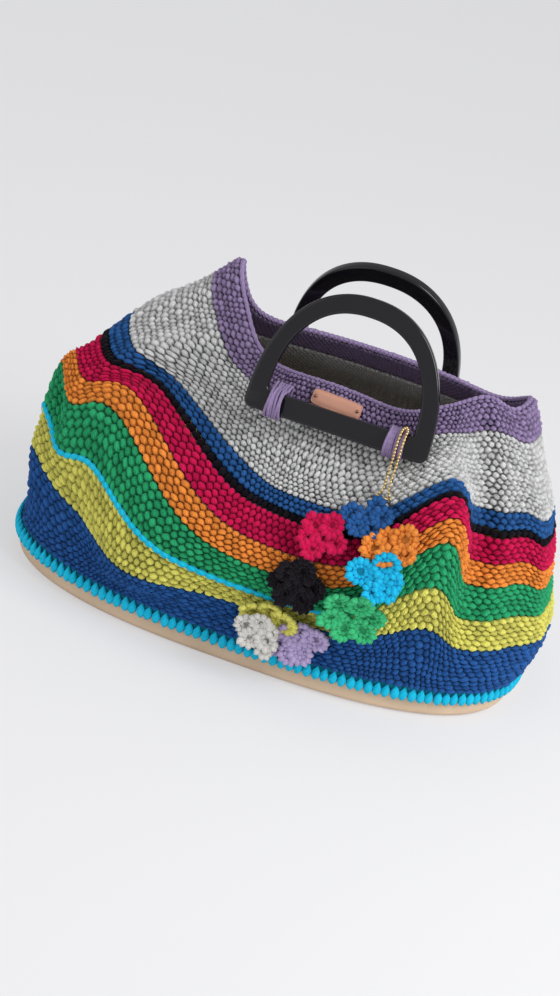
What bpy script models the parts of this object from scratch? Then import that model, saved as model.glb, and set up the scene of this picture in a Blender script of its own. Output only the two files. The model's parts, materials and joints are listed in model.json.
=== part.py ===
"""Crocheted oval tote bag with a leather base, two D handles and a flower charm on a ball chain.

Metres, +Z up. X runs along the bag's length, the photographed front faces -Y, and the origin is at
the middle of the base, on the surface the bag stands on.
"""
import math

import bmesh
import bpy
import numpy as np
from mathutils import Matrix, Vector

MM = 0.001
DEG = math.pi / 180

# Driving dimensions of the crocheted body
CROCHET_WALL = 5.0 * MM         # thickness of the single crochet fabric
ROW_RIDGE = 1.2 * MM            # how far a row's crest stands out of its valley
SEAM_GAP = 0.3 * MM             # clearance kept between two separate pieces
COARSE_STEP = 9.6               # degrees between wall columns
# Closer columns, at the pinched left end and at the pleat of the front: from, to, step
FINE_COLUMNS = ((160.0, 190.0, 2.5), (284.0, 326.0, 3.5))

# Sections of the body from the base edge up to the rim:
# level, half length, half width, shift along X, shift along Y, height
SECTIONS = (
    (0.00, 229 * MM, 127 * MM, 0 * MM, -2 * MM, 20 * MM),
    (0.18, 228 * MM, 136 * MM, 11 * MM, 0 * MM, 62 * MM),
    (0.36, 230 * MM, 142 * MM, 1 * MM, -9 * MM, 104 * MM),
    (0.55, 219 * MM, 127 * MM, 6 * MM, -12 * MM, 146 * MM),
    (0.68, 198 * MM, 106 * MM, 14 * MM, -6 * MM, 177 * MM),
    (0.84, 162 * MM, 80 * MM, 24 * MM, -5 * MM, 207 * MM),
    (1.00, 131 * MM, 63 * MM, 29 * MM, -6 * MM, 237 * MM),
)
OVAL_POWER_BASE, OVAL_POWER_RIM = 2.6, 2.3   # 2 is an ellipse, more is squarer
FOLD_FADE = 0.16                # level at which the folds reach their full depth

# Folds and slumps of the soft wall: name, angle round the bag, spread in degrees, level,
# spread in level, and the push along X, Y and Z
FOLDS = (
    ("left_peak", 183, 28, 1.05, 0.28, (-2 * MM, 18 * MM, 54 * MM)),
    ("rim_left_swing", 186, 58, 1.00, 0.30, (-1 * MM, 27 * MM, -12 * MM)),
    ("left_shoulder", 185, 34, 0.70, 0.22, (10 * MM, 24 * MM, 34 * MM)),
    ("left_cheek", 200, 18, 0.40, 0.17, (-3 * MM, 33 * MM, 39 * MM)),
    ("left_corner", 222, 20, 0.55, 0.28, (-16 * MM, 40 * MM, 14 * MM)),
    ("left_trough", 236, 12, 0.45, 0.22, (-14 * MM, 33 * MM, 39 * MM)),
    ("front_swell", 252, 18, 0.62, 0.25, (38 * MM, 3 * MM, -3 * MM)),
    ("belly_hollow", 272, 16, 0.42, 0.17, (7 * MM, 4 * MM, -10 * MM)),
    ("front_sag", 275, 28, 0.68, 0.20, (-10 * MM, -7 * MM, -9 * MM)),
    ("low_left_dent", 205, 14, 0.19, 0.10, (-20 * MM, 7 * MM, 17 * MM)),
    ("low_front_dent", 245, 14, 0.20, 0.11, (-7 * MM, -18 * MM, -12 * MM)),
    ("pleat", 300, 9, 0.50, 0.30, (18 * MM, 6 * MM, 60 * MM)),
    ("pleat_shadow", 315, 7, 0.55, 0.30, (-3 * MM, 25 * MM, 0 * MM)),
    ("right_front", 332, 16, 0.50, 0.30, (-1 * MM, 26 * MM, 11 * MM)),
    ("right_end", 0, 34, 0.60, 0.25, (-2 * MM, -14 * MM, -2 * MM)),
    ("right_peak", 2, 24, 1.05, 0.25, (11 * MM, 9 * MM, 22 * MM)),
    ("rim_under_handle", 264, 22, 1.00, 0.30, (7 * MM, 0 * MM, 9 * MM)),
    ("rim_left_front", 215, 18, 1.00, 0.30, (3 * MM, 6 * MM, 14 * MM)),
    ("rim_right_front", 320, 20, 1.00, 0.25, (5 * MM, 9 * MM, 26 * MM)),
)

# Yarn bands from the base up: node, rows of crochet, ridges modelled, steps of the inner face, colour
BANDS = (
    ("base_row_turquoise", 1.6, 1, 1, (0.012, 0.29, 0.36)),
    ("band_lower_blue", 8.0, 2, 2, (0.012, 0.09, 0.30)),
    ("band_lime", 4.6, 1, 1, (0.70, 0.71, 0.16)),
    ("line_turquoise", 1.0, 1, 1, (0.02, 0.52, 0.80)),
    ("band_green", 5.0, 1, 1, (0.03, 0.31, 0.13)),
    ("band_orange", 4.0, 1, 1, (0.85, 0.27, 0.05)),
    ("band_crimson", 4.0, 1, 1, (0.55, 0.01, 0.08)),
    ("band_black", 1.0, 1, 1, (0.006, 0.005, 0.008)),
    ("band_upper_blue", 2.4, 1, 1, (0.02, 0.08, 0.25)),
    ("band_grey", 11.0, 3, 3, (0.48, 0.49, 0.48)),
    ("rim_purple", 5.0, 2, 2, (0.24, 0.17, 0.36)),
)
LINE_FROM, LINE_TO = 96.0, 283.0     # the thin turquoise row runs round the left side only
LINE_TAPER = 0.6                     # share of a column's width that its ends taper over

# Leather base
BASE_TOP = SECTIONS[0][5]
LEATHER_THICKNESS = 2.5 * MM
LEATHER_INSET = 4.0 * MM             # the leather wall stands this far inside the crochet's face
LEATHER_FOOT_RADIUS = 5.0 * MM
ROW_OVERLAP = 6.0 * MM               # how far the first row's stitches hang over the leather edge

# D handles
HANDLE_WIDTH = 156 * MM
HANDLE_HEIGHT = 114 * MM
HANDLE_THICKNESS = 9 * MM
HANDLE_BAR = 18 * MM
HANDLE_ARCH = 16 * MM
HANDLE_EDGE = 2.0 * MM
HANDLE_CORNER = 7 * MM
FRONT_MIDDLE, BACK_MIDDLE = 32 * MM, 20 * MM             # middle of each handle along X
FRONT_BAR_HEIGHT, BACK_BAR_HEIGHT = 225 * MM, 207 * MM   # axis of each handle's bar
HANDLE_LEAN = 18                     # degrees that both handles lean inwards at rest

# Yarn ties that hold the bars
TIE_WALL = 2.6 * MM
TIE_WIDTH_LEFT = 14 * MM
TIE_WIDTH_RIGHT = 17 * MM
TIE_GAP_LEFT, TIE_GAP_RIGHT = 3.0 * MM, 3.5 * MM         # between a tie and the handle's leg
# From the middle of the handle to the middle of the tie
TIE_LEFT = -(HANDLE_WIDTH / 2 - HANDLE_ARCH - TIE_GAP_LEFT - TIE_WIDTH_LEFT / 2)
TIE_RIGHT = HANDLE_WIDTH / 2 - HANDLE_ARCH - TIE_GAP_RIGHT - TIE_WIDTH_RIGHT / 2
TIE_STRANDS = 3
TIE_STRAND_RIDGE = 0.8 * MM

# Bare name plate on the rim
LABEL_LENGTH = 43 * MM
LABEL_HEIGHT = 13 * MM
LABEL_THICKNESS = 1.2 * MM
LABEL_ANGLE, LABEL_LEVEL = 267.0, 0.945
RIVET_RADIUS = 1.5 * MM
RIVET_HEIGHT = 0.8 * MM
RIVET_SPREAD = 18.5 * MM

# Ball chain
CHAIN_X = FRONT_MIDDLE + TIE_RIGHT + 5 * MM              # the loop lies over the right front tie
CHAIN_SPREAD = 2.2 * MM              # half the distance between its two strands
BEAD_RADIUS = 1.2 * MM
BEAD_PITCH = 3.0 * MM
BEAD_NECK = 0.45 * MM
CHAIN_TOP_TURN = 98                  # degrees from the front of the tie to the loop's top
CHAIN_FOOT = 186 * MM
CLASP_LENGTH = 5.0 * MM
CLASP_RADIUS = 1.6 * MM

# Flower charm: name, angle, level, lift over the ring, radius, twist in degrees, colour
RING_RADIUS = 1.4 * MM
RING_LIFT = 3.4 * MM
HUB_RADIUS = 2.6 * MM
PETALS = 5
PETAL_THICKNESS = 4.2 * MM
PETAL_CUP = 3.0 * MM
FLOWERS = (
    ("flower_blue", 286.5, 0.655, 0.6 * MM, 16.5 * MM, 10, (0.02, 0.10, 0.28)),
    ("flower_crimson", 278.8, 0.588, 0.6 * MM, 18.5 * MM, 40, (0.45, 0.005, 0.04)),
    ("flower_black", 275.5, 0.415, 0.6 * MM, 19.5 * MM, 5, (0.006, 0.005, 0.008)),
    ("flower_lime", 271.8, 0.215, 0.6 * MM, 15.5 * MM, 60, (0.62, 0.60, 0.22)),
    ("flower_white", 271.0, 0.120, 9.0 * MM, 17.0 * MM, 25, (0.60, 0.62, 0.60)),
    ("flower_lilac", 278.0, 0.122, 0.6 * MM, 18.5 * MM, 50, (0.43, 0.35, 0.58)),
    ("flower_green", 286.5, 0.302, 0.6 * MM, 20.5 * MM, 15, (0.02, 0.40, 0.15)),
    ("flower_cyan", 290.0, 0.445, 0.6 * MM, 19.0 * MM, 35, (0.01, 0.50, 0.80)),
    ("flower_orange", 290.5, 0.575, 9.0 * MM, 18.0 * MM, 0, (0.85, 0.28, 0.06)),
)

BAG_BACK, BAG_FRONT = 1, -1


def clear_scene():
    for item in list(bpy.data.objects):
        bpy.data.objects.remove(item)


def collection(name):
    group = bpy.data.collections.new(name)
    bpy.context.scene.collection.children.link(group)
    return group


def material(name, colour, roughness=0.85, metallic=0.0):
    paint = bpy.data.materials.new(name)
    paint.use_nodes = True
    shader = paint.node_tree.nodes["Principled BSDF"]
    shader.inputs["Base Color"].default_value = (*colour, 1.0)
    shader.inputs["Roughness"].default_value = roughness
    shader.inputs["Metallic"].default_value = metallic
    paint.diffuse_color = (*colour, 1.0)
    return paint


# The body's surface

def through_sections(level, column):
    """One column of SECTIONS at any level, as a smooth curve through the stated sections."""
    table = np.array(SECTIONS)
    knots, values = table[:, 0], table[:, column]
    level = np.clip(level, knots[0], knots[-1])
    low = np.clip(np.searchsorted(knots, level, side="right") - 1, 0, len(knots) - 2)
    slopes = np.gradient(values, knots)
    step = knots[low + 1] - knots[low]
    t = (level - knots[low]) / step
    return ((2 * t**3 - 3 * t**2 + 1) * values[low] + (t**3 - 2 * t**2 + t) * step * slopes[low]
            + (3 * t**2 - 2 * t**3) * values[low + 1] + (t**3 - t**2) * step * slopes[low + 1])


def oval(value, power):
    return np.sign(value) * np.abs(value) ** (2 / power)


def wall_point(angle, level):
    """Points of the crochet's outer face, for angles in degrees and levels from 0 to 1."""
    angle, level = np.broadcast_arrays(np.asarray(angle, float), np.asarray(level, float))
    power = OVAL_POWER_BASE + (OVAL_POWER_RIM - OVAL_POWER_BASE) * level
    point = np.stack([
        through_sections(level, 3) + through_sections(level, 1) * oval(np.cos(angle * DEG), power),
        through_sections(level, 4) + through_sections(level, 2) * oval(np.sin(angle * DEG), power),
        through_sections(level, 5)], -1)
    for _, middle, spread, fold_level, level_spread, push in FOLDS:
        turn = (angle - middle + 180) % 360 - 180
        weight = np.exp(-(turn / spread) ** 2 - ((level - fold_level) / level_spread) ** 2)
        fade = np.clip(level / FOLD_FADE, 0, 1)
        weight = weight * fade**2 * (3 - 2 * fade)
        point = point + weight[..., None] * np.array(push)
    return point


def wall_normal(angle, level):
    """Outward unit normals of the wall."""
    turn, rise = 0.8, 0.004
    level = np.clip(level, rise, 1 - rise)
    along = wall_point(angle + turn, level) - wall_point(angle - turn, level)
    up = wall_point(angle, level + rise) - wall_point(angle, level - rise)
    normal = np.cross(along, up)
    return normal / np.linalg.norm(normal, axis=-1, keepdims=True)


def off_wall(angle, level, lift):
    lift = np.asarray(lift, float)[..., None]
    return wall_point(angle, level) + wall_normal(angle, level) * lift


def wall_columns():
    """Angles of the wall's columns: even, and closer where the wall bends sharply."""
    columns = []
    for i, (low, high, step) in enumerate(FINE_COLUMNS):
        columns.append(np.linspace(low, high, round((high - low) / step), endpoint=False))
        start = high
        end = FINE_COLUMNS[(i + 1) % len(FINE_COLUMNS)][0]
        span = (end - start) % 360
        columns.append(start + np.linspace(0, span, round(span / COARSE_STEP), endpoint=False))
    return np.concatenate(columns)


def band_levels():
    """Level of each seam between two bands, from the counts of rows."""
    rows = np.cumsum([0] + [band[1] for band in BANDS])
    return rows / rows[-1]


def beside_line(angle):
    """1 where the thin turquoise row is worked in lime instead, 0 where it runs."""
    angle = np.asarray(angle) % 360
    return np.where((angle > LINE_FROM) & (angle < LINE_TO), 0.0, 1.0)


# Mesh helpers

def add_object(name, mesh, group, paint, smooth_angle=35):
    item = bpy.data.objects.new(name, mesh)
    group.objects.link(item)
    mesh.materials.append(paint)
    mesh.shade_smooth()
    mesh.set_sharp_from_angle(angle=math.radians(smooth_angle))
    return item


def loft(name, sections, closed, group, paint):
    """Skin over equal rings of points: closed joins the last to the first, otherwise both ends are capped.

    Facing edges of two neighbouring bands are split along the same diagonals, so their gap stays even.
    """
    build = bmesh.new()
    rings = [[build.verts.new(point) for point in section] for section in sections]
    count = len(rings[0])
    last = len(rings) if closed else len(rings) - 1
    for i in range(last):
        here, there = rings[i], rings[(i + 1) % len(rings)]
        for j in range(count):
            k = (j + 1) % count
            first, second = (j, k) if j < k else (k, j)
            build.faces.new((here[first], there[second], here[second]))
            build.faces.new((here[first], there[first], there[second]))
    if not closed:
        build.faces.new(rings[0])
        build.faces.new(list(reversed(rings[-1])))
    bmesh.ops.recalc_face_normals(build, faces=build.faces)
    mesh = bpy.data.meshes.new(name)
    build.to_mesh(mesh)
    build.free()
    return add_object(name, mesh, group, paint)


def seam_levels():
    """Half of a seam's gap, as a share of the body's height."""
    return SEAM_GAP / 2 / (SECTIONS[-1][5] - SECTIONS[0][5]) * 2.0


def band_section(angle, low, high, ridges, inner_steps):
    """Closed outline of a band at one angle: ridged outer face upwards, inner face downwards."""
    outer = np.linspace(low, high, 2 * ridges + 1)
    crests = np.arange(2 * ridges + 1) % 2 * ROW_RIDGE
    inner = np.linspace(high, low, inner_steps + 1)
    points = off_wall(angle, outer, crests)
    return np.concatenate([points, off_wall(angle, inner, np.full(len(inner), -CROCHET_WALL))])


def build_band(index, columns, levels, group):
    name, _, ridges, inner_steps, colour = BANDS[index]
    paint = material(name, colour)
    half_gap = seam_levels()
    low = np.full(len(columns), levels[index] + half_gap)
    high = np.full(len(columns), levels[index + 1] - half_gap)
    if name == "rim_purple":
        high[:] = 1.0
    if name == "band_lime":
        high = high + (levels[index + 2] - levels[index + 1]) * beside_line(columns)
    sections = [band_section(a, b, t, ridges, inner_steps) for a, b, t in zip(columns, low, high)]
    return loft(name, sections, True, group, paint)


def build_line(index, levels, group):
    """The thin turquoise row, which tapers out at both ends."""
    name, _, ridges, inner_steps, colour = BANDS[index]
    half_gap = seam_levels()
    columns = np.sort(wall_columns() % 360)
    low, high = levels[index] + half_gap, levels[index + 1] - half_gap
    sections = [band_section(angle, low, high, ridges, inner_steps)
                for angle in columns if beside_line(angle) == 0]
    before = columns[columns <= LINE_FROM].max()
    after = columns[columns >= LINE_TO].min()
    for angle, place in ((before, 0), (after, len(sections) + 1)):
        beyond = band_section(angle, levels[index + 1] + half_gap, high, ridges, inner_steps)
        nearest = sections[0 if place == 0 else -1]
        sections.insert(place, (1 - LINE_TAPER) * nearest + LINE_TAPER * beyond)
    return loft(name, sections, False, group, material(name, colour))


def base_outline(columns, inset, height):
    """The base oval, moved in from the crochet's face and laid level."""
    points = off_wall(columns, np.zeros(len(columns)), np.full(len(columns), -inset))
    points[:, 2] = height
    return points


def build_base_row(columns, levels, group):
    """First row, worked through holes in the leather: it stands on the edge and hangs over it."""
    name, _, _, _, colour = BANDS[0]
    lip = LEATHER_INSET - SEAM_GAP
    back = LEATHER_INSET + LEATHER_THICKNESS + SEAM_GAP
    top = levels[1] - seam_levels()
    profile = [
        base_outline(columns, 0, BASE_TOP - ROW_OVERLAP),
        base_outline(columns, -ROW_RIDGE, BASE_TOP),
        off_wall(columns, np.full(len(columns), top), np.zeros(len(columns))),
        off_wall(columns, np.full(len(columns), top), np.full(len(columns), -CROCHET_WALL)),
        base_outline(columns, back, BASE_TOP + SEAM_GAP),
        base_outline(columns, lip, BASE_TOP + SEAM_GAP),
        base_outline(columns, lip, BASE_TOP - ROW_OVERLAP),
    ]
    return loft(name, np.stack(profile, 1), True, group, material(name, colour))


def build_leather_base(columns, group):
    """Flat sole with its edge turned up all round."""
    foot, wall = LEATHER_FOOT_RADIUS, LEATHER_THICKNESS
    rings = [base_outline(columns, LEATHER_INSET + foot, 0),
             base_outline(columns, LEATHER_INSET, foot),
             base_outline(columns, LEATHER_INSET, BASE_TOP),
             base_outline(columns, LEATHER_INSET + wall, BASE_TOP),
             base_outline(columns, LEATHER_INSET + wall, foot + wall),
             base_outline(columns, LEATHER_INSET + wall + foot, wall)]
    return loft("leather_base", rings, False, group, material("leather", (0.62, 0.47, 0.31), 0.6))


# Handles

def reach(side, x_low, x_high):
    """Wall points in a range along X, on the front or the back."""
    angles = np.arange(1, 180, 1.0) + (180 if side == BAG_FRONT else 0)
    points = off_wall(*np.meshgrid(angles, np.linspace(0.5, 1.0, 121), indexing="ij"), ROW_RIDGE)
    points = points.reshape(-1, 3)
    return points[(points[:, 0] > x_low) & (points[:, 0] < x_high)]


def bar_sweep():
    """Radius that the bar's corners sweep as it turns in its ties."""
    return math.hypot(HANDLE_BAR, HANDLE_THICKNESS) / 2


def tie_inner():
    return bar_sweep() + SEAM_GAP


def tie_outer():
    return tie_inner() + TIE_WALL + TIE_STRAND_RIDGE


def bar_middle(side):
    """Middle of a handle's bar, which is also a point on its hinge axis.

    The bar turns clear of the wall, and the ties round it touch the wall.
    """
    middle, height = {BAG_FRONT: (FRONT_MIDDLE, FRONT_BAR_HEIGHT), BAG_BACK: (BACK_MIDDLE, BACK_BAR_HEIGHT)}[side]
    spans = [(-HANDLE_WIDTH / 2, HANDLE_WIDTH / 2, bar_sweep()),
             (TIE_LEFT - TIE_WIDTH_LEFT / 2, TIE_LEFT + TIE_WIDTH_LEFT / 2, tie_outer()),
             (TIE_RIGHT - TIE_WIDTH_RIGHT / 2, TIE_RIGHT + TIE_WIDTH_RIGHT / 2, tie_outer())]
    outermost = []
    for low, high, radius in spans:
        points = reach(side, middle + low, middle + high)
        keep = radius + SEAM_GAP
        beside = points[np.abs(points[:, 2] - height) < keep]
        out = side * beside[:, 1] + np.sqrt(keep**2 - (beside[:, 2] - height) ** 2)
        outermost.append(out.max())
    return Vector((middle, side * max(outermost), height))


def handle_outline(inset, bar_inset):
    """D outline in its own plane, with X along the bar and Y up from the bar's axis."""
    half = HANDLE_WIDTH / 2 - inset
    foot = -HANDLE_BAR / 2 + bar_inset
    top = HANDLE_HEIGHT - HANDLE_BAR / 2 - inset
    corner = HANDLE_CORNER if bar_inset == 0 else HANDLE_CORNER * 0.5
    points = []
    for i in range(5):
        turn = -math.pi / 2 + i * math.pi / 8
        points.append((half - corner + corner * math.cos(turn), foot + corner + corner * math.sin(turn)))
    start = foot + corner
    for i in range(1, 20):
        turn = i * math.pi / 20
        x, y = math.cos(turn), math.sin(turn)
        points.append((half * oval(x, 2.25), start + (top - start) * oval(y, 2.25)))
    for i in range(5):
        turn = math.pi + i * math.pi / 8
        points.append((-half + corner + corner * math.cos(turn), foot + corner + corner * math.sin(turn)))
    return points


def build_handle(name, side, group, paint):
    curve = bpy.data.curves.new(name, "CURVE")
    curve.dimensions = "2D"
    curve.fill_mode = "BOTH"
    curve.extrude = HANDLE_THICKNESS / 2 - HANDLE_EDGE
    curve.bevel_depth = HANDLE_EDGE
    curve.bevel_resolution = 0
    curve.offset = -HANDLE_EDGE
    outlines = (handle_outline(0, 0), handle_outline(HANDLE_ARCH, HANDLE_BAR))
    for outline in outlines:
        spline = curve.splines.new("POLY")
        spline.points.add(len(outline) - 1)
        for slot, (x, y) in zip(spline.points, outline):
            slot.co = (x, y, 0, 1)
        spline.use_cyclic_u = True
    flat = bpy.data.objects.new(name, curve)
    group.objects.link(flat)
    bpy.context.view_layer.update()
    mesh = bpy.data.meshes.new_from_object(flat.evaluated_get(bpy.context.evaluated_depsgraph_get()))
    bpy.data.objects.remove(flat)
    build = bmesh.new()
    build.from_mesh(mesh)
    bmesh.ops.remove_doubles(build, verts=build.verts, dist=0.00001)
    build.to_mesh(mesh)
    build.free()
    handle = add_object(name, mesh, group, paint)
    handle.location = bar_middle(side)
    handle.rotation_euler = (math.pi / 2 + side * HANDLE_LEAN * DEG, 0, 0)
    return handle


def tie_root(side, centre, width):
    """How far a tie's strands run inwards from the bar's axis, to the rim that they are worked into."""
    points = reach(side, centre.x - width / 2, centre.x + width / 2)
    apart = np.abs(points[:, 2] - centre.z)
    beside = points[apart < max(HANDLE_BAR / 4, apart.min() + SEAM_GAP)]
    return max(tie_outer(), side * centre.y - (side * beside[:, 1]).max() - SEAM_GAP)


def tie_section(turn, width, inner, root):
    """Outline of a tie across its strands, at one angle round the bar; root is its reach there, or 0."""
    steps = 2 * TIE_STRANDS + 1
    points = []
    for i in range(steps):
        x = -width / 2 + width * i / (steps - 1)
        radius = root or inner + TIE_WALL + (TIE_STRAND_RIDGE if i % 2 else 0)
        points.append(Vector((x, radius * math.cos(turn), radius * math.sin(turn))))
    for x in (width / 2, -width / 2):
        points.append(Vector((x, inner * math.cos(turn), inner * math.sin(turn))))
    return points


def build_tie(name, side, offset, width, group, paint):
    centre = bar_middle(side) + Vector((offset, 0, 0))
    sections = []
    for i in range(12):
        turn = i * math.tau / 12
        root = tie_root(side, centre, width) if math.cos(turn) * side < -0.99 else 0
        sections.append([centre + p for p in tie_section(turn, width, tie_inner(), root)])
    return loft(name, sections, True, group, paint)


# Label, chain and flower charm

def wall_frame(angle, level, lift, twist=0.0):
    """Matrix on the wall: X along the bag, Y up it and Z out of it."""
    origin = Vector(off_wall(angle, level, lift))
    out = Vector(wall_normal(angle, level))
    up = Vector((0, 0, 1))
    up = (up - out * up.dot(out)).normalized()
    across = up.cross(out)
    frame = Matrix((across, up, out)).transposed().to_4x4()
    return Matrix.Translation(origin) @ frame @ Matrix.Rotation(twist * DEG, 4, "Z")


def label_lift():
    """The flat label clears the curved rim by the seam's gap."""
    frame = wall_frame(LABEL_ANGLE, LABEL_LEVEL, 0.0).inverted()
    angles, rows = np.meshgrid(np.linspace(LABEL_ANGLE - 30, LABEL_ANGLE + 30, 61), np.linspace(0.8, 1, 41))
    points = off_wall(angles, rows, ROW_RIDGE).reshape(-1, 3)
    local = [frame @ Vector(p) for p in points]
    under = [p.z for p in local if abs(p.x) < LABEL_LENGTH / 2 and abs(p.y) < LABEL_HEIGHT / 2]
    return max(under) + SEAM_GAP


def build_label(group):
    leather = material("label_leather", (0.64, 0.38, 0.30), 0.45)
    brass = material("label_rivet", (0.55, 0.36, 0.26), 0.3, 1.0)
    lift = label_lift()
    frame = wall_frame(LABEL_ANGLE, LABEL_LEVEL, 0.0)
    bpy.ops.mesh.primitive_cube_add(size=1)
    plate = bpy.context.object
    plate.name = "label"
    plate.data.transform(Matrix.Diagonal((LABEL_LENGTH, LABEL_HEIGHT, LABEL_THICKNESS, 1)))
    plate.matrix_world = frame @ Matrix.Translation((0, 0, lift + LABEL_THICKNESS / 2))
    adopt(plate, group, leather)
    for name, side in (("label_rivet_left", -1), ("label_rivet_right", 1)):
        bpy.ops.mesh.primitive_cylinder_add(vertices=10, radius=RIVET_RADIUS, depth=RIVET_HEIGHT)
        rivet = bpy.context.object
        rivet.name = name
        height = lift + LABEL_THICKNESS + SEAM_GAP + RIVET_HEIGHT / 2
        rivet.matrix_world = frame @ Matrix.Translation((side * RIVET_SPREAD, 0, height))
        adopt(rivet, group, brass)


def adopt(item, group, paint):
    for owner in list(item.users_collection):
        owner.objects.unlink(item)
    group.objects.link(item)
    item.data.materials.append(paint)


def rounded_path(points, spacing):
    """Evenly spaced points on a smooth curve through a few chosen ones."""
    points = np.array(points, float)
    ends = np.vstack([2 * points[0] - points[1], points, 2 * points[-1] - points[-2]])
    fine = []
    for i in range(1, len(ends) - 2):
        a, b, c, d = ends[i - 1:i + 3]
        for t in np.linspace(0, 1, 24, endpoint=False):
            fine.append(0.5 * (2 * b + (c - a) * t + (2 * a - 5 * b + 4 * c - d) * t**2
                               + (3 * b - a - 3 * c + d) * t**3))
    fine.append(points[-1])
    fine = np.array(fine)
    length = np.concatenate([[0], np.cumsum(np.linalg.norm(np.diff(fine, axis=0), axis=1))])
    marks = np.linspace(0, length[-1], max(2, round(length[-1] / spacing)) + 1)
    return np.stack([np.interp(marks, length, fine[:, axis]) for axis in range(3)], -1)


def face_y(x, height, lift):
    """Y of the front wall at a place, moved out by a lift along Y."""
    points = reach(BAG_FRONT, x - 4 * MM, x + 4 * MM)
    near = points[np.abs(points[:, 2] - height) < 4 * MM]
    return near[:, 1].min() - lift


def over_tie(turn):
    """Y and Z of the chain where it lies over the right front tie, at an angle up from the front."""
    radius = tie_outer() + BEAD_RADIUS + SEAM_GAP
    _, axis_y, height = bar_middle(BAG_FRONT)
    return axis_y - radius * math.cos(turn * DEG), height + radius * math.sin(turn * DEG)


def chain_route():
    """The chain's loop from one end of its clasp, up over the bar and down to the other."""
    front = over_tie(0)[0]
    foot_y = min(front, face_y(CHAIN_X, CHAIN_FOOT, 3 * BEAD_RADIUS))
    spread, end = CHAIN_SPREAD, CLASP_LENGTH / 2 + SEAM_GAP
    up = [(-end, foot_y, CHAIN_FOOT), (-end - BEAD_PITCH, foot_y, CHAIN_FOOT + 0.5 * BEAD_PITCH),
          (-spread, foot_y, CHAIN_FOOT + 3 * BEAD_PITCH), (-spread, front, FRONT_BAR_HEIGHT - 3 * BEAD_PITCH)]
    up += [(-spread, *over_tie(turn)) for turn in (0, 30, 60)]
    up += [(-0.8 * spread, *over_tie(82)), (0, *over_tie(CHAIN_TOP_TURN))]
    down = [(-x, y, z) for x, y, z in reversed(up[:-1])]
    return [(CHAIN_X + x, y, z) for x, y, z in up + down]


def build_chain(group):
    brass = material("chain_brass", (0.75, 0.55, 0.25), 0.3, 1.0)
    path = rounded_path(chain_route(), BEAD_PITCH / 2)
    tangents = np.gradient(path, axis=0)
    sections = []
    side = Vector((0, 1, 0))
    for i, (point, tangent) in enumerate(zip(path, tangents)):
        along = Vector(tangent).normalized()
        side = (side - along * side.dot(along)).normalized()
        other = along.cross(side)
        radius = BEAD_RADIUS if i % 2 else BEAD_NECK
        sections.append([Vector(point) + (side * math.cos(k * math.tau / 4)
                                          + other * math.sin(k * math.tau / 4)) * radius for k in range(4)])
    loft("ball_chain", sections, False, group, brass)
    bpy.ops.mesh.primitive_cylinder_add(vertices=10, radius=CLASP_RADIUS, depth=CLASP_LENGTH)
    clasp = bpy.context.object
    clasp.name = "chain_clasp"
    clasp.location = (CHAIN_X, path[0][1], CHAIN_FOOT)
    clasp.rotation_euler = (0, math.pi / 2, 0)
    adopt(clasp, group, brass)


def flower_route():
    """Angles and levels of the ring that carries the flowers, as a smooth closed curve."""
    knots = np.array([(angle, level) for _, angle, level, *_ in FLOWERS])
    looped = np.vstack([knots, knots[:1]])
    count = len(knots)
    route = []
    for i in range(count):
        a, b, c, d = knots[i - 1], looped[i], looped[i + 1], knots[(i + 2) % count]
        for t in (0, 1 / 3, 2 / 3):
            route.append(0.5 * (2 * b + (c - a) * t + (2 * a - 5 * b + 4 * c - d) * t**2
                                + (3 * b - a - 3 * c + d) * t**3))
    return np.array(route)


def build_charm_ring(group):
    yarn = material("ring_yarn", (0.30, 0.30, 0.30))
    route = flower_route()
    points = off_wall(route[:, 0], route[:, 1], np.full(len(route), RING_LIFT))
    curve = bpy.data.curves.new("charm_ring", "CURVE")
    curve.dimensions = "3D"
    curve.bevel_depth = RING_RADIUS
    curve.bevel_resolution = 1
    spline = curve.splines.new("POLY")
    spline.points.add(len(points) - 1)
    for slot, point in zip(spline.points, points):
        slot.co = (*point, 1)
    spline.use_cyclic_u = True
    ring = bpy.data.objects.new("charm_ring", curve)
    group.objects.link(ring)
    curve.materials.append(yarn)


def flower_point(radius_share, turn, radius, height):
    lobe = 1 + 0.14 * math.cos(PETALS * turn)
    reach_out = radius * radius_share * (lobe if radius_share > 0.5 else 1) / 1.14
    return Vector((reach_out * math.cos(turn), reach_out * math.sin(turn), height))


def build_flower(name, angle, level, lift, radius, twist, colour, group):
    """Cupped crochet flower on the short yarn stem that ties it to the ring."""
    stem_foot = RING_LIFT + RING_RADIUS + SEAM_GAP
    frame = wall_frame(angle, level, stem_foot, twist)
    thick = PETAL_THICKNESS
    turns = [i * math.tau / (2 * PETALS) for i in range(2 * PETALS)]
    profile = [(HUB_RADIUS / radius, 0), (HUB_RADIUS / radius, lift), (0.55, lift + 0.3 * PETAL_CUP),
               (1.0, lift + PETAL_CUP), (0.96, lift + PETAL_CUP + 0.8 * thick),
               (0.5, lift + 0.4 * PETAL_CUP + thick)]
    sections = [[frame @ flower_point(share, turn, radius, height) for turn in turns]
                for share, height in profile]
    return loft(name, sections, False, group, material(name, colour))


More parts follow.
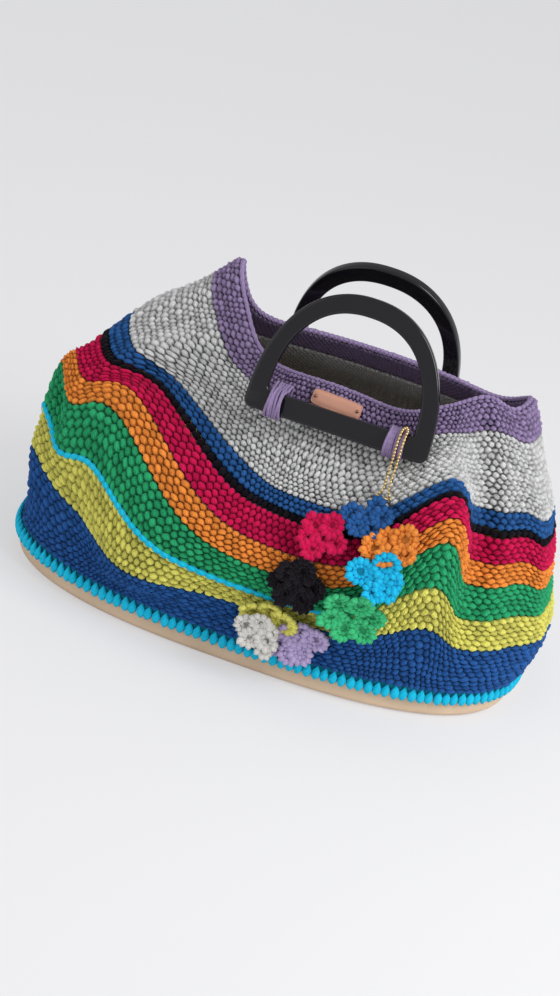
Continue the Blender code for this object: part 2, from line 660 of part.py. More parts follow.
def main():
    clear_scene()
    bag = collection("crochet_tote_bag")
    columns, levels = wall_columns(), band_levels()
    build_leather_base(columns, bag)
    build_base_row(columns, levels, bag)
    for index, band in enumerate(BANDS):
        if band[0] == "line_turquoise":
            build_line(index, levels, bag)
        elif index > 0:
            build_band(index, columns, levels, bag)
    black = material("handle_black", (0.012, 0.012, 0.014), 0.18)
    yarn = material("tie_yarn", (0.24, 0.17, 0.36))
    for place, side in (("front", BAG_FRONT), ("back", BAG_BACK)):
        build_handle(f"handle_{place}", side, bag, black)
        build_tie(f"tie_{place}_left", side, TIE_LEFT, TIE_WIDTH_LEFT, bag, yarn)
        build_tie(f"tie_{place}_right", side, TIE_RIGHT, TIE_WIDTH_RIGHT, bag, yarn)
    build_label(bag)
    build_chain(bag)
    build_charm_ring(bag)
    for flower in FLOWERS:
        build_flower(*flower, bag)


main()
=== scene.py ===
"""Looks of a crocheted tote bag, built around its packed frame.

Metres, +Z up. The body is worked stitch by stitch, with a leather base, two D handles held by yarn
ties, a bare leather label and a flower charm on a ball chain. Run it as a script.
"""
import json
import math

import bmesh
import bpy
import numpy as np
from mathutils import Matrix, Vector


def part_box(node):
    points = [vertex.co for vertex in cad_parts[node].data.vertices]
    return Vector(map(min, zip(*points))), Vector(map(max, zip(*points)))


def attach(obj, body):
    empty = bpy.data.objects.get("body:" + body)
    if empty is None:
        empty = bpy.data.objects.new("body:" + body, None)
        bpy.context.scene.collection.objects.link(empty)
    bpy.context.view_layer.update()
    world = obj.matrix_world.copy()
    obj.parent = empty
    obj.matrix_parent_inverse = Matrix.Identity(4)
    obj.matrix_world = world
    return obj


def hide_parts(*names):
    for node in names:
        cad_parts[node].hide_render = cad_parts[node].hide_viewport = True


bl_info = {
    "name": "Crocheted tote bag",
    "version": (1, 0, 0),
    "blender": (4, 5, 0),
    "location": "View3D > Sidebar > Tote",
    "description": "Builds the stitches, leather, handles and flower charm of a crocheted tote bag",
    "category": "Object",
}

MM = 0.001
DEG = math.pi / 180

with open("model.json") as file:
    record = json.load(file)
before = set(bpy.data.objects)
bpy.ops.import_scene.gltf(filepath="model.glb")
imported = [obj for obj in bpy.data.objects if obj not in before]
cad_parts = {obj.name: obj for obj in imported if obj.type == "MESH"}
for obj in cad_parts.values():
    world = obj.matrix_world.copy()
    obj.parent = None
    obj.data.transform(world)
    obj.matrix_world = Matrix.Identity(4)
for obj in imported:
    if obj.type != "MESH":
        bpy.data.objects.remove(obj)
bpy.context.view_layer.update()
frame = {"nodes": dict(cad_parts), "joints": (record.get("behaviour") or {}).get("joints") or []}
JOINTS = {joint["name"]: Vector(joint["pos_m"]) for joint in frame["joints"]}
FRONT_BAR = JOINTS["front_handle_tilt"]
BACK_BAR = JOINTS["back_handle_tilt"]

# Sections of the body from the base edge up to the rim:
# level, half length, half width, shift along X, shift along Y, height
SECTIONS = (
    (0.00, 229 * MM, 127 * MM, 0 * MM, -2 * MM, 20 * MM),
    (0.18, 228 * MM, 136 * MM, 11 * MM, 0 * MM, 62 * MM),
    (0.36, 230 * MM, 142 * MM, 1 * MM, -9 * MM, 104 * MM),
    (0.55, 219 * MM, 127 * MM, 6 * MM, -12 * MM, 146 * MM),
    (0.68, 198 * MM, 106 * MM, 14 * MM, -6 * MM, 177 * MM),
    (0.84, 162 * MM, 80 * MM, 24 * MM, -5 * MM, 207 * MM),
    (1.00, 131 * MM, 63 * MM, 29 * MM, -6 * MM, 237 * MM),
)
OVAL_POWER_BASE, OVAL_POWER_RIM = 2.6, 2.3
FOLD_FADE = 0.16
WALL_HEIGHT = SECTIONS[-1][-1] - SECTIONS[0][-1]

# Folds and slumps of the soft wall: name, angle, spread, level, spread in level, push along X, Y and Z
FOLDS = (
    ("left_peak", 183, 28, 1.05, 0.28, (-2 * MM, 18 * MM, 54 * MM)),
    ("rim_left_swing", 186, 58, 1.00, 0.30, (-1 * MM, 27 * MM, -12 * MM)),
    ("left_shoulder", 185, 34, 0.70, 0.22, (10 * MM, 24 * MM, 34 * MM)),
    ("left_cheek", 200, 18, 0.40, 0.17, (-3 * MM, 33 * MM, 39 * MM)),
    ("left_corner", 222, 20, 0.55, 0.28, (-16 * MM, 40 * MM, 14 * MM)),
    ("left_trough", 236, 12, 0.45, 0.22, (-14 * MM, 33 * MM, 39 * MM)),
    ("front_swell", 252, 18, 0.62, 0.25, (38 * MM, 3 * MM, -3 * MM)),
    ("belly_hollow", 272, 16, 0.42, 0.17, (7 * MM, 4 * MM, -10 * MM)),
    ("front_sag", 275, 28, 0.68, 0.20, (-10 * MM, -7 * MM, -9 * MM)),
    ("low_left_dent", 205, 14, 0.19, 0.10, (-20 * MM, 7 * MM, 17 * MM)),
    ("low_front_dent", 245, 14, 0.20, 0.11, (-7 * MM, -18 * MM, -12 * MM)),
    ("pleat", 300, 9, 0.50, 0.30, (18 * MM, 6 * MM, 60 * MM)),
    ("pleat_shadow", 315, 7, 0.55, 0.30, (-3 * MM, 25 * MM, 0 * MM)),
    ("right_front", 332, 16, 0.50, 0.30, (-1 * MM, 26 * MM, 11 * MM)),
    ("right_end", 0, 34, 0.60, 0.25, (-2 * MM, -14 * MM, -2 * MM)),
    ("right_peak", 2, 24, 1.05, 0.25, (11 * MM, 9 * MM, 22 * MM)),
    ("rim_under_handle", 264, 22, 1.00, 0.30, (7 * MM, 0 * MM, 9 * MM)),
    ("rim_left_front", 215, 18, 1.00, 0.30, (3 * MM, 6 * MM, 14 * MM)),
    ("rim_right_front", 320, 20, 1.00, 0.25, (5 * MM, 9 * MM, 26 * MM)),
    ("grey_overhang", 266, 13, 0.74, 0.06, (0 * MM, -6 * MM, -4 * MM)),
    ("shade_pocket", 267, 12, 0.58, 0.07, (1 * MM, 9 * MM, 1 * MM)),
    ("left_pocket", 212, 6, 0.36, 0.05, (6 * MM, 6 * MM, 0 * MM)),
    ("corner_dent", 238, 8, 0.17, 0.06, (1 * MM, 6 * MM, -3 * MM)),
    ("trough_crease", 232, 6, 0.62, 0.12, (5 * MM, 6 * MM, -4 * MM)),
    ("shoulder_ridge", 222, 6, 0.72, 0.12, (-4 * MM, -5 * MM, 3 * MM)),
    ("pleat_edge", 307, 4, 0.45, 0.22, (1 * MM, 6 * MM, 0 * MM)),
)

# Yarn bands from the base up: node, rows that set its height, rows of stitches, colour property
BANDS = (
    ("base_row_turquoise", 1.6, 0, "turquoise"),
    ("band_lower_blue", 8.0, 10, "lower_blue"),
    ("band_lime", 4.6, 6, "lime"),
    ("line_turquoise", 1.0, 0, "turquoise"),
    ("band_green", 5.0, 6, "green"),
    ("band_orange", 4.0, 5, "orange"),
    ("band_crimson", 4.0, 5, "crimson"),
    ("band_black", 1.0, 1, "black"),
    ("band_upper_blue", 2.4, 3, "upper_blue"),
    ("band_grey", 11.0, 14, "grey"),
    ("rim_purple", 5.0, 6, "purple"),
)
# Angles between which the thin turquoise row runs
LINE_FROM, LINE_TO = 96.0, 283.0
WALL = 5.0 * MM
TOP_ROW = sum(band[2] for band in BANDS)

# Cells across one stitch, and the lines of its rise with their height
ACROSS = 6
RISE = np.array([0.0, 0.17, 0.40, 0.64, 0.86, 1.0])
SWELL = np.array([0.0, 0.72, 1.0, 0.98, 0.70, 0.0])

# Flower charm: node, angle, level, lift, colour property, petals as direction, distance, radius
FLOWERS = (
    ("flower_blue", 286.5, 0.655, 0.6 * MM, "upper_blue",
     ((195, 14, 9), (250, 11, 9), (310, 10, 9), (20, 14, 8.5), (80, 13, 6.5))),
    ("flower_crimson", 278.8, 0.588, 0.6 * MM, "crimson",
     ((146, 13, 9.5), (69, 14.5, 9), (354, 13.5, 8), (256, 15, 8.5), (205, 13, 8))),
    ("flower_black", 275.5, 0.415, 0.6 * MM, "black",
     ((188, 15, 9), (79, 15.5, 11), (5, 15, 10), (307, 15, 10), (239, 16, 8), (135, 13, 9))),
    ("flower_lime", 271.8, 0.215, 0.6 * MM, "lime",
     ((174, 16, 10), (9, 14.5, 12), (90, 9, 9), (270, 8, 8))),
    ("flower_white", 271.0, 0.120, 9.0 * MM, "white",
     ((163, 10.5, 10), (80, 11, 9.5), (238, 12, 8.5), (331, 13, 9), (20, 10, 8), (300, 20, 6))),
    ("flower_lilac", 278.0, 0.122, 0.6 * MM, "lilac",
     ((211, 18, 10), (256, 14, 10), (31, 19, 10.5), (300, 12, 10), (75, 12, 9.5), (145, 12, 8.5))),
    ("flower_green", 286.5, 0.302, 0.6 * MM, "flower_green",
     ((138, 19.5, 10), (70, 18.5, 10.5), (10, 20, 10), (318, 21, 10), (262, 18, 10), (200, 19, 9.5))),
    ("flower_cyan", 290.0, 0.445, 0.6 * MM, "cyan",
     ((178, 13.5, 11), (62, 16, 11), (5, 14, 10), (325, 15, 9), (278, 15, 7.5))),
    ("flower_orange", 290.5, 0.575, 9.0 * MM, "orange",
     ((210, 15, 10.5), (50, 16, 11.5), (3, 18, 8.5), (285, 10, 9), (150, 9, 8))),
)
# How far each flower flops from its place on the ring: along the bag, up and outwards, in mm
FLOWER_SHIFT = {
    "flower_blue": (5.0, -4.0, 1.0),
    "flower_crimson": (1.0, -2.0, 1.0),
    "flower_black": (0.0, 4.0, 0.0),
    "flower_lime": (1.0, 7.0, 0.0),
    "flower_white": (3.5, 13.5, 1.0),
    "flower_lilac": (-4.0, 9.0, 2.0),
    "flower_green": (-3.0, 12.0, 1.0),
    "flower_cyan": (0.0, 2.5, 8.5),
    "flower_orange": (14.0, -8.0, -8.6),
}
# How far the charm's ring and the backs of its flowers stand off the wall
RING_LIFT, FLOWER_LIFT = 3.4 * MM, 5.1 * MM

# Angle and level of the label's middle on the wall
LABEL_AT = (267.0, 0.945)

# Inside of a tie round the handle's bar, and the thickness of its yarn there
TIE_RADIUS, TIE_YARN = 10.36 * MM, 3.4 * MM

# The camera stands in front of the bag, looks down on it and is tipped to the left
CAMERA_AT = (287.6 * MM, -1832.9 * MM, 1009.6 * MM)
CAMERA_DOWN, CAMERA_ROLL, CAMERA_YAW = 26.1 * DEG, 14.78 * DEG, 9.3 * DEG


# Settings

def yarn_property(name, words, colour):
    return bpy.props.FloatVectorProperty(name=name, description=words, subtype="COLOR", size=3, min=0, max=1,
                                         default=colour)


def length_property(name, words, size):
    return bpy.props.FloatProperty(name=name, description=words, subtype="DISTANCE", unit="LENGTH", min=0,
                                   default=size)


class ToteYarns(bpy.types.PropertyGroup):
    """Colours of the yarns"""
    turquoise: yarn_property("Turquoise", "First row, and the thin row above the lime", (0.010, 0.54, 0.80))
    lower_blue: yarn_property("Lower blue", "Wide blue band above the base", (0.018, 0.105, 0.36))
    lime: yarn_property("Lime", "Lime band and flower", (0.78, 0.74, 0.15))
    green: yarn_property("Green", "Green band", (0.022, 0.40, 0.16))
    orange: yarn_property("Orange", "Orange band and flower", (0.98, 0.31, 0.05))
    crimson: yarn_property("Crimson", "Crimson band and flower", (0.66, 0.004, 0.085))
    black: yarn_property("Black", "Black row and flower", (0.005, 0.003, 0.007))
    upper_blue: yarn_property("Upper blue", "Narrow blue band and flower", (0.02, 0.11, 0.34))
    grey: yarn_property("Grey", "Wide pale grey band", (0.71, 0.715, 0.71))
    purple: yarn_property("Purple", "Rim and ties", (0.32, 0.235, 0.43))
    white: yarn_property("White", "White flower", (0.74, 0.72, 0.68))
    lilac: yarn_property("Lilac", "Lilac flower", (0.50, 0.40, 0.68))
    cyan: yarn_property("Cyan", "Cyan flower", (0.01, 0.55, 0.90))
    flower_green: yarn_property("Flower green", "Green flower", (0.05, 0.55, 0.22))


class ToteStitches(bpy.types.PropertyGroup):
    """Sizes of the stitches"""
    around: bpy.props.IntProperty(name="Stitches round", description="Stitches in one row", min=40, max=180,
                                  default=156)
    interlock: bpy.props.FloatProperty(name="Interlock", min=0, max=0.4, default=0.2,
                                       description="Share of a row that a stitch reaches into the next one")
    crest: length_property("Crest", "How far a stitch stands out of the wall", 2.3 * MM)
    valley: length_property("Valley", "How far the valley between stitches lies in the wall", 2.0 * MM)
    bulbs: bpy.props.IntProperty(name="Edge stitches", description="Stitches worked through the leather edge",
                                 min=40, max=200, default=160)


class ToteHandles(bpy.types.PropertyGroup):
    """Sizes of the handles and their ties"""
    width: length_property("Width", "Width of a D handle", 156 * MM)
    height: length_property("Height", "Height of a D handle", 114 * MM)
    thickness: length_property("Thickness", "Thickness of a handle", 9 * MM)
    bar: length_property("Bar", "Height of the straight bar", 18 * MM)
    arch: length_property("Arch", "Width of the arch", 16 * MM)
    edge: length_property("Edge", "Radius of the handle's edges", 2 * MM)
    lean: bpy.props.FloatProperty(name="Lean", description="Lean of the handles towards each other",
                                  subtype="ANGLE", unit="ROTATION", default=18 * DEG)
    strand: length_property("Strand", "Radius of a tie's yarn", 1.25 * MM)
    colour: yarn_property("Colour", "Resin of the handles", (0.006, 0.006, 0.008))


class ToteTrim(bpy.types.PropertyGroup):
    """Leather, label, chain and flowers"""
    leather: yarn_property("Leather", "Natural leather of the base", (0.78, 0.58, 0.40))
    label: yarn_property("Label", "Leather of the bare label", (0.68, 0.34, 0.24))
    gold: yarn_property("Gold", "Metal of the ball chain", (0.86, 0.64, 0.27))
    bead: length_property("Bead", "Radius of a ball of the chain", 1.25 * MM)
    pitch: length_property("Pitch", "Distance between two balls", 3.0 * MM)
    petal: length_property("Petal", "Thickness of a petal", 4.2 * MM)


class ToteStage(bpy.types.PropertyGroup):
    """Floor, light and camera"""
    floor: yarn_property("Floor", "Colour of the floor and the background", (0.86, 0.86, 0.88))
    sky: bpy.props.FloatProperty(name="Sky", description="Strength of the light from all round", min=0,
                                 default=0.60)
    key: bpy.props.FloatProperty(name="Key", description="Power of the large lamp", subtype="POWER", min=0,
                                 default=17)
    lens: bpy.props.FloatProperty(name="Lens", description="Focal length", subtype="DISTANCE_CAMERA", min=10,
                                  default=86.75)


# Surface of the body

def through_sections(level, column):
    table = np.array(SECTIONS)
    knots, values = table[:, 0], table[:, column]
    level = np.clip(level, knots[0], knots[-1])
    low = np.clip(np.searchsorted(knots, level, side="right") - 1, 0, len(knots) - 2)
    slopes = np.gradient(values, knots)
    step = knots[low + 1] - knots[low]
    t = (level - knots[low]) / step
    return ((2 * t**3 - 3 * t**2 + 1) * values[low] + (t**3 - 2 * t**2 + t) * step * slopes[low]
            + (3 * t**2 - 2 * t**3) * values[low + 1] + (t**3 - t**2) * step * slopes[low + 1])


def oval(value, power):
    return np.sign(value) * np.abs(value) ** (2 / power)


def wall_point(angle, level):
    angle, level = np.broadcast_arrays(np.asarray(angle, float), np.asarray(level, float))
    power = OVAL_POWER_BASE + (OVAL_POWER_RIM - OVAL_POWER_BASE) * level
    point = np.stack([
        through_sections(level, 3) + through_sections(level, 1) * oval(np.cos(angle * DEG), power),
        through_sections(level, 4) + through_sections(level, 2) * oval(np.sin(angle * DEG), power),
        through_sections(level, 5)], -1)
    for _, middle, spread, fold_level, level_spread, push in FOLDS:
        turn = (angle - middle + 180) % 360 - 180
        weight = np.exp(-(turn / spread) ** 2 - ((level - fold_level) / level_spread) ** 2)
        fade = np.clip(level / FOLD_FADE, 0, 1)
        weight = weight * fade**2 * (3 - 2 * fade)
        point = point + weight[..., None] * np.array(push)
    return point


def wall_normal(angle, level):
    turn, rise = 0.8, 0.004
    level = np.clip(level, rise, 1 - rise)
    along = wall_point(angle + turn, level) - wall_point(angle - turn, level)
    up = wall_point(angle, level + rise) - wall_point(angle, level - rise)
    normal = np.cross(along, up)
    return normal / np.linalg.norm(normal, axis=-1, keepdims=True)


def off_wall(angle, level, lift):
    lift = np.asarray(lift, float)[..., None]
    return wall_point(angle, level) + wall_normal(angle, level) * lift


def even_angles(count, level=0.35):
    """Angles that space a number of stitches evenly round the bag at a level."""
    fine = np.linspace(0, 360, 1441)
    points = wall_point(fine, np.full(len(fine), level))
    length = np.concatenate([[0], np.cumsum(np.linalg.norm(np.diff(points, axis=0), axis=1))])
    return lambda share: np.interp(np.asarray(share) / count % 1.0 * length[-1], length, fine)


def band_levels():
    rows = np.cumsum([0] + [band[1] for band in BANDS])
    levels = rows / rows[-1]
    line = [band[0] for band in BANDS].index("line_turquoise")
    levels[line] = levels[line + 1] = (levels[line] + levels[line + 1]) / 2
    return levels


def wall_frame(angle, level, lift):
    """Axes on the wall: X along the bag, Y up it and Z out of it."""
    origin = Vector(off_wall(angle, level, lift))
    out = Vector(wall_normal(angle, level))
    up = Vector((0, 0, 1))
    up = (up - out * up.dot(out)).normalized()
    across = up.cross(out)
    turned = Matrix((across, up, out)).transposed().to_4x4()
    return Matrix.Translation(origin) @ turned


def between(a, b, c, d, t):
    """Point of a smooth curve through a, b, c and d, at a share t of the way from b to c."""
    return 0.5 * (2 * b + (c - a) * t + (2 * a - 5 * b + 4 * c - d) * t**2 + (3 * b - a - 3 * c + d) * t**3)


def scatter(*seeds):
    """Repeatable numbers from 0 to 1 that look random, from whole numbers."""
    total = np.zeros(np.broadcast(*seeds).shape)
    for seed, factor in zip(seeds, (12.9898, 78.233, 37.719)):
        total = total + np.asarray(seed) * factor
    return np.sin(total) * 43758.5453 % 1.0


# Meshes

def make_mesh(name, points, faces, shades=None):
    mesh = bpy.data.meshes.new(name)
    mesh.from_pydata([tuple(p) for p in points], [], faces)
    mesh.shade_smooth()
    for label, values in (shades or {}).items():
        attribute = mesh.attributes.new(label, "FLOAT", "POINT")
        attribute.data.foreach_set("value", np.asarray(values, np.float32).ravel())
    return mesh


def place(name, mesh, finish, body, slot, *nodes):
    """Adds a piece that rides on a body and stands for nodes of the frame."""
    piece = bpy.data.objects.new(name, mesh)
    bpy.context.scene.collection.objects.link(piece)
    mesh.materials.append(finish)
    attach(piece, body)
    if nodes:
        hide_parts(*nodes)
    return piece


class Lump:
    """Gathers many small closed forms into one mesh."""

    def __init__(self):
        # Each point has a tone that varies at random, a shade value (1 lit, lower for painted shade) and a
        # ply number
        self.points, self.faces, self.shades = [], [], {"tone": [], "depth": [], "ply": []}
        self.count = 0

    def add(self, points, faces, tone=0.5, depth=1.0, ply=0.0):
        self.points.append(points)
        self.faces.extend([tuple(i + self.count for i in face) for face in faces])
        self.shades["tone"].append(np.full(len(points), tone))
        self.shades["depth"].append(np.broadcast_to(depth, len(points)))
        self.shades["ply"].append(np.broadcast_to(ply, len(points)))
        self.count += len(points)

    def mesh(self, name):
        shades = {label: np.concatenate(values) for label, values in self.shades.items()}
        return make_mesh(name, np.concatenate(self.points), self.faces, shades)


def ring_faces(rings, count, caps=True, closed=False):
    """Faces between rings of points that follow each other, each ring turning the same way."""
    faces = []
    for i in range(rings if closed else rings - 1):
        low, high = i * count, (i + 1) % rings * count
        for j in range(count):
            k = (j + 1) % count
            faces.append((low + j, low + k, high + k, high + j))
    if caps and not closed:
        faces.append(tuple(range(count - 1, -1, -1)))
        faces.append(tuple((rings - 1) * count + j for j in range(count)))
    return faces


def plies(rings, sides, along):
    """Strand numbers that lie in chevrons along a cord."""
    turns = np.abs(np.arange(sides) / sides - 0.5) * 4
    return (np.arange(rings)[:, None] * along + turns[None]).ravel()


def swept(path, widths, heights, sides, up, closed=False):
    """Rings of a tube along a path, with a half width and a half height at each point."""
    path = np.asarray(path, float)
    if closed:
        tangent = np.roll(path, -1, 0) - np.roll(path, 1, 0)
    else:
        tangent = np.gradient(path, axis=0)
    tangent /= np.linalg.norm(tangent, axis=1, keepdims=True)
    up = np.broadcast_to(np.asarray(up, float), path.shape)
    side = np.cross(up, tangent)
    side /= np.linalg.norm(side, axis=1, keepdims=True)
    top = np.cross(tangent, side)
    turns = np.arange(sides) * math.tau / sides
    widths = np.broadcast_to(widths, len(path))[:, None, None]
    heights = np.broadcast_to(heights, len(path))[:, None, None]
    rings = (path[:, None] + side[:, None] * np.cos(turns)[None, :, None] * widths
             + top[:, None] * np.sin(turns)[None, :, None] * heights)
    return rings.reshape(-1, 3)


# Materials

class Signal:
    """A socket of a material that takes part in arithmetic."""

    def __init__(self, finish, socket):
        self.finish, self.socket = finish, socket

    def _with(self, operation, *values):
        return self.finish.node("ShaderNodeMath", {"operation": operation}, dict(enumerate(values)))

    def __add__(self, other):
        return self._with("ADD", self, other)

    __radd__ = __add__

    def __mul__(self, other):
        return self._with("MULTIPLY", self, other)

    __rmul__ = __mul__

    def __sub__(self, other):
        return self._with("SUBTRACT", self, other)

    def __rsub__(self, other):
        return self._with("SUBTRACT", other, self)

    def sine(self):
        return self._with("SINE", self)

    def clamped(self):
        return self._with("MINIMUM", self._with("MAXIMUM", self, 0.0), 1.0)


class Finish:
    """One material: a Principled shader and the nodes that feed it."""

    def __init__(self, name, **sockets):
        self.material = bpy.data.materials.new(name)
        self.material.use_nodes = True
        self.tree = self.material.node_tree
        self.shader = self.tree.nodes["Principled BSDF"]
        for label, value in sockets.items():
            self.feed(label.replace("_", " "), value)

    def node(self, kind, settings=None, inputs=None, output=0):
        made = self.tree.nodes.new(kind)
        for label, value in (settings or {}).items():
            if label == "stops":
                while len(made.color_ramp.elements) < len(value):
                    made.color_ramp.elements.new(0.5)
                for stop, (place_at, colour) in zip(made.color_ramp.elements, value):
                    stop.position = place_at
                    stop.color = colour
            else:
                setattr(made, label, value)
        for label, value in (inputs or {}).items():
            self.join(made.inputs[label], value)
        return Signal(self, made.outputs[output])

    def join(self, socket, value):
        if isinstance(value, Signal):
            self.tree.links.new(value.socket, socket)
        else:
            socket.default_value = value

    def feed(self, label, value):
        if isinstance(value, tuple) and len(value) == 3:
            value = (*value, 1.0)
        self.join(self.shader.inputs[label], value)

    def value(self, label):
        return self.node("ShaderNodeAttribute", {"attribute_name": label}, output=2)

    def noise(self, scale, detail=3.0, roughness=0.55, stretch=None):
        place_at = self.node("ShaderNodeTexCoord", output=3)
        if stretch:
            place_at = self.node("ShaderNodeMapping", {}, {"Vector": place_at, "Scale": stretch})
        return self.node("ShaderNodeTexNoise", {}, {"Vector": place_at, "Scale": scale, "Detail": detail,
                                                    "Roughness": roughness})

    def blend(self, share, first, second):
        mixed = self.tree.nodes.new("ShaderNodeMix")
        mixed.data_type = "RGBA"
        self.join(mixed.inputs[0], share)
        for socket, value in ((mixed.inputs[6], first), (mixed.inputs[7], second)):
            self.join(socket, (*value, 1.0) if isinstance(value, tuple) and len(value) == 3 else value)
        return Signal(self, mixed.outputs[2])

    def raise_by(self, height, strength, distance):
        self.feed("Normal", self.node("ShaderNodeBump", {}, {"Strength": strength, "Distance": distance,
                                                            "Height": height}))


def scaled(colour, factor, towards_white=0.0):
    return tuple(min(1.0, c * factor + towards_white) for c in colour)


def yarn(name, colour, fluff=0.0):
    """Cotton cord: twisted strands, with painted shade in its valleys and hollows, paler where fibres stand
    up.
    """
    colour = tuple(colour)
    finish = Finish(name, Roughness=0.95, Sheen_Weight=0.04 + 0.3 * fluff, Sheen_Roughness=0.5,
                    Specular_IOR_Level=0.12)
    depth, tone = finish.value("depth"), finish.value("tone")
    fibre = finish.noise(1500.0, 4.0, 0.7)
    clumps = finish.noise(240.0, 2.0, 0.5)
    # Colour of the painted shade, laid where the shade value is low
    painted_shade_colour = scaled(colour, 0.22 + 0.3 * fluff)
    pale = scaled(colour, 1.10, 0.012 + 0.05 * fluff)
    twist = (finish.value("ply") * math.tau).sine()
    # Painted shade: the colour falls towards the painted shade colour in valleys, pits and hollows; clumps
    # and twist add real tone
    body = finish.blend((depth * 0.95 + clumps * 0.35 + twist * 0.08 - 0.12).clamped(), painted_shade_colour, colour)
    lit = ((tone - 0.35) * 0.5 + (fibre - 0.45) * (0.9 + fluff) + (clumps - 0.5) * 0.5).clamped()
    finish.feed("Base Color", finish.blend(lit, body, pale))
    finish.raise_by(twist * 0.5 + fibre * (0.6 + fluff) + clumps * 0.3, 0.6, 0.8 * MM)
    return finish.material


def smooth_leather(name, colour, grain, shine, wear):
    """Vegetable-tanned leather with fine grain and cloudy tone, and painted shade on its edges and in
    recesses.
    """
    colour = tuple(colour)
    finish = Finish(name, Specular_IOR_Level=0.4)
    clouds = finish.noise(26.0, 3.0, 0.6)
    pores = finish.noise(grain, 5.0, 0.65)
    edge = finish.value("depth")
    body = finish.blend((clouds * 1.5 - 0.35).clamped(), scaled(colour, 0.86), scaled(colour, 1.04))
    # Painted shade: darker where the shade value is low; the wear argument sets how dark this painted shade
    # gets
    body = finish.blend(((1 - edge) * wear).clamped(), body, scaled(colour, 0.45))
    finish.feed("Base Color", finish.blend(((pores - 0.55) * 0.8).clamped(), body, scaled(colour, 0.7)))
    finish.feed("Roughness", (pores * 0.25 + clouds * 0.15 + shine).clamped())
    finish.raise_by(pores * 0.7 + clouds * 0.3, 0.35, 0.25 * MM)
    return finish.material


def black_resin(colour):
    """Polished black resin, with faint wipe marks."""
    finish = Finish("resin_black", Specular_IOR_Level=0.4)
    marks = finish.noise(45.0, 3.0, 0.6, (1.0, 1.0, 4.0))
    finish.feed("Base Color", finish.blend((marks * 0.6).clamped(), tuple(colour), scaled(colour, 1.6)))
    finish.feed("Roughness", (marks * 0.12 + 0.06).clamped())
    finish.raise_by(marks, 0.05, 0.2 * MM)
    return finish.material


def bright_metal(name, colour, roughness):
    """Plated metal with soft wear on its high spots."""
    finish = Finish(name, Metallic=1.0)
    wear = finish.noise(900.0, 2.0, 0.5)
    finish.feed("Base Color", finish.blend((wear * 0.7).clamped(), scaled(colour, 0.82), tuple(colour)))
    finish.feed("Roughness", (wear * 0.12 + roughness).clamped())
    return finish.material


# Crochet

def stitch_grid(first_row, rows, levels, stitches):
    """Points of the outer face of some rows of stitches, with their shade values.

    A stitch is a dome that reaches up between the two above it. The lines of the grid follow the
    valleys, so that each dome has a crisp edge.
    """
    around, reach = stitches.around, stitches.interlock
    columns = np.arange(around * ACROSS) / ACROSS
    points, tone, depth, ply = [], [], [], []
    angle_at = even_angles(around)
    for k in range(rows):
        row = first_row + k
        phase = (columns + 0.5 * (row % 2)) % 1.0 - 0.5
        stitch = np.floor(columns + 0.5 * (row % 2))
        swing = reach * np.cos(math.tau * phase)
        low, high = k - swing, k + 1 + swing
        if first_row + rows == TOP_ROW and k == rows - 1:
            high = high - reach
        last = k == rows - 1
        profile = (1 - np.abs(2 * phase) ** 2.6).clip(0) ** 0.6
        dent = 1 - 0.10 * np.exp(-(phase / 0.10) ** 2)
        wild = scatter(stitch % around, np.full(len(columns), float(row)))
        for j in range(len(RISE) if last else len(RISE) - 1):
            t = low + (high - low) * RISE[j]
            whole = np.full(len(columns), float(first_row)) + t
            sway = 0.07 * np.sin(1.3 * columns + 2.1 * whole) + 0.06 * np.sin(0.53 * columns - 1.7 * whole)
            rise = (0.09 * np.sin(0.37 * columns + 0.9 * whole) + 0.07 * np.sin(0.81 * columns - 0.6 * whole)
                    + 0.05 * np.sin(2.9 * columns + 1.1 * whole))
            ease = np.clip(np.minimum(t, rows - t) * 1.5, 0, 1)
            swell = profile * SWELL[j] * dent * (0.70 + 0.46 * wild)
            nub = (np.abs(np.abs(phase) - 0.5) < 0.01) * (j == 2) * (scatter(stitch, row + 9.0) > 0.35)
            swell = np.maximum(swell, nub * 0.7)
            level = levels[0] + (levels[1] - levels[0]) * np.clip((t + rise * ease) / rows, 0, 1)
            angle = angle_at(columns + sway)
            points.append((angle, level, swell, t))
            tone.append(wild)
            # Painted shade: the valleys between domes get a low shade value and paint darker
            depth.append(swell)
            ply.append(np.abs(phase) * 3.2 + t * 1.7)
    return points, tone, depth, ply


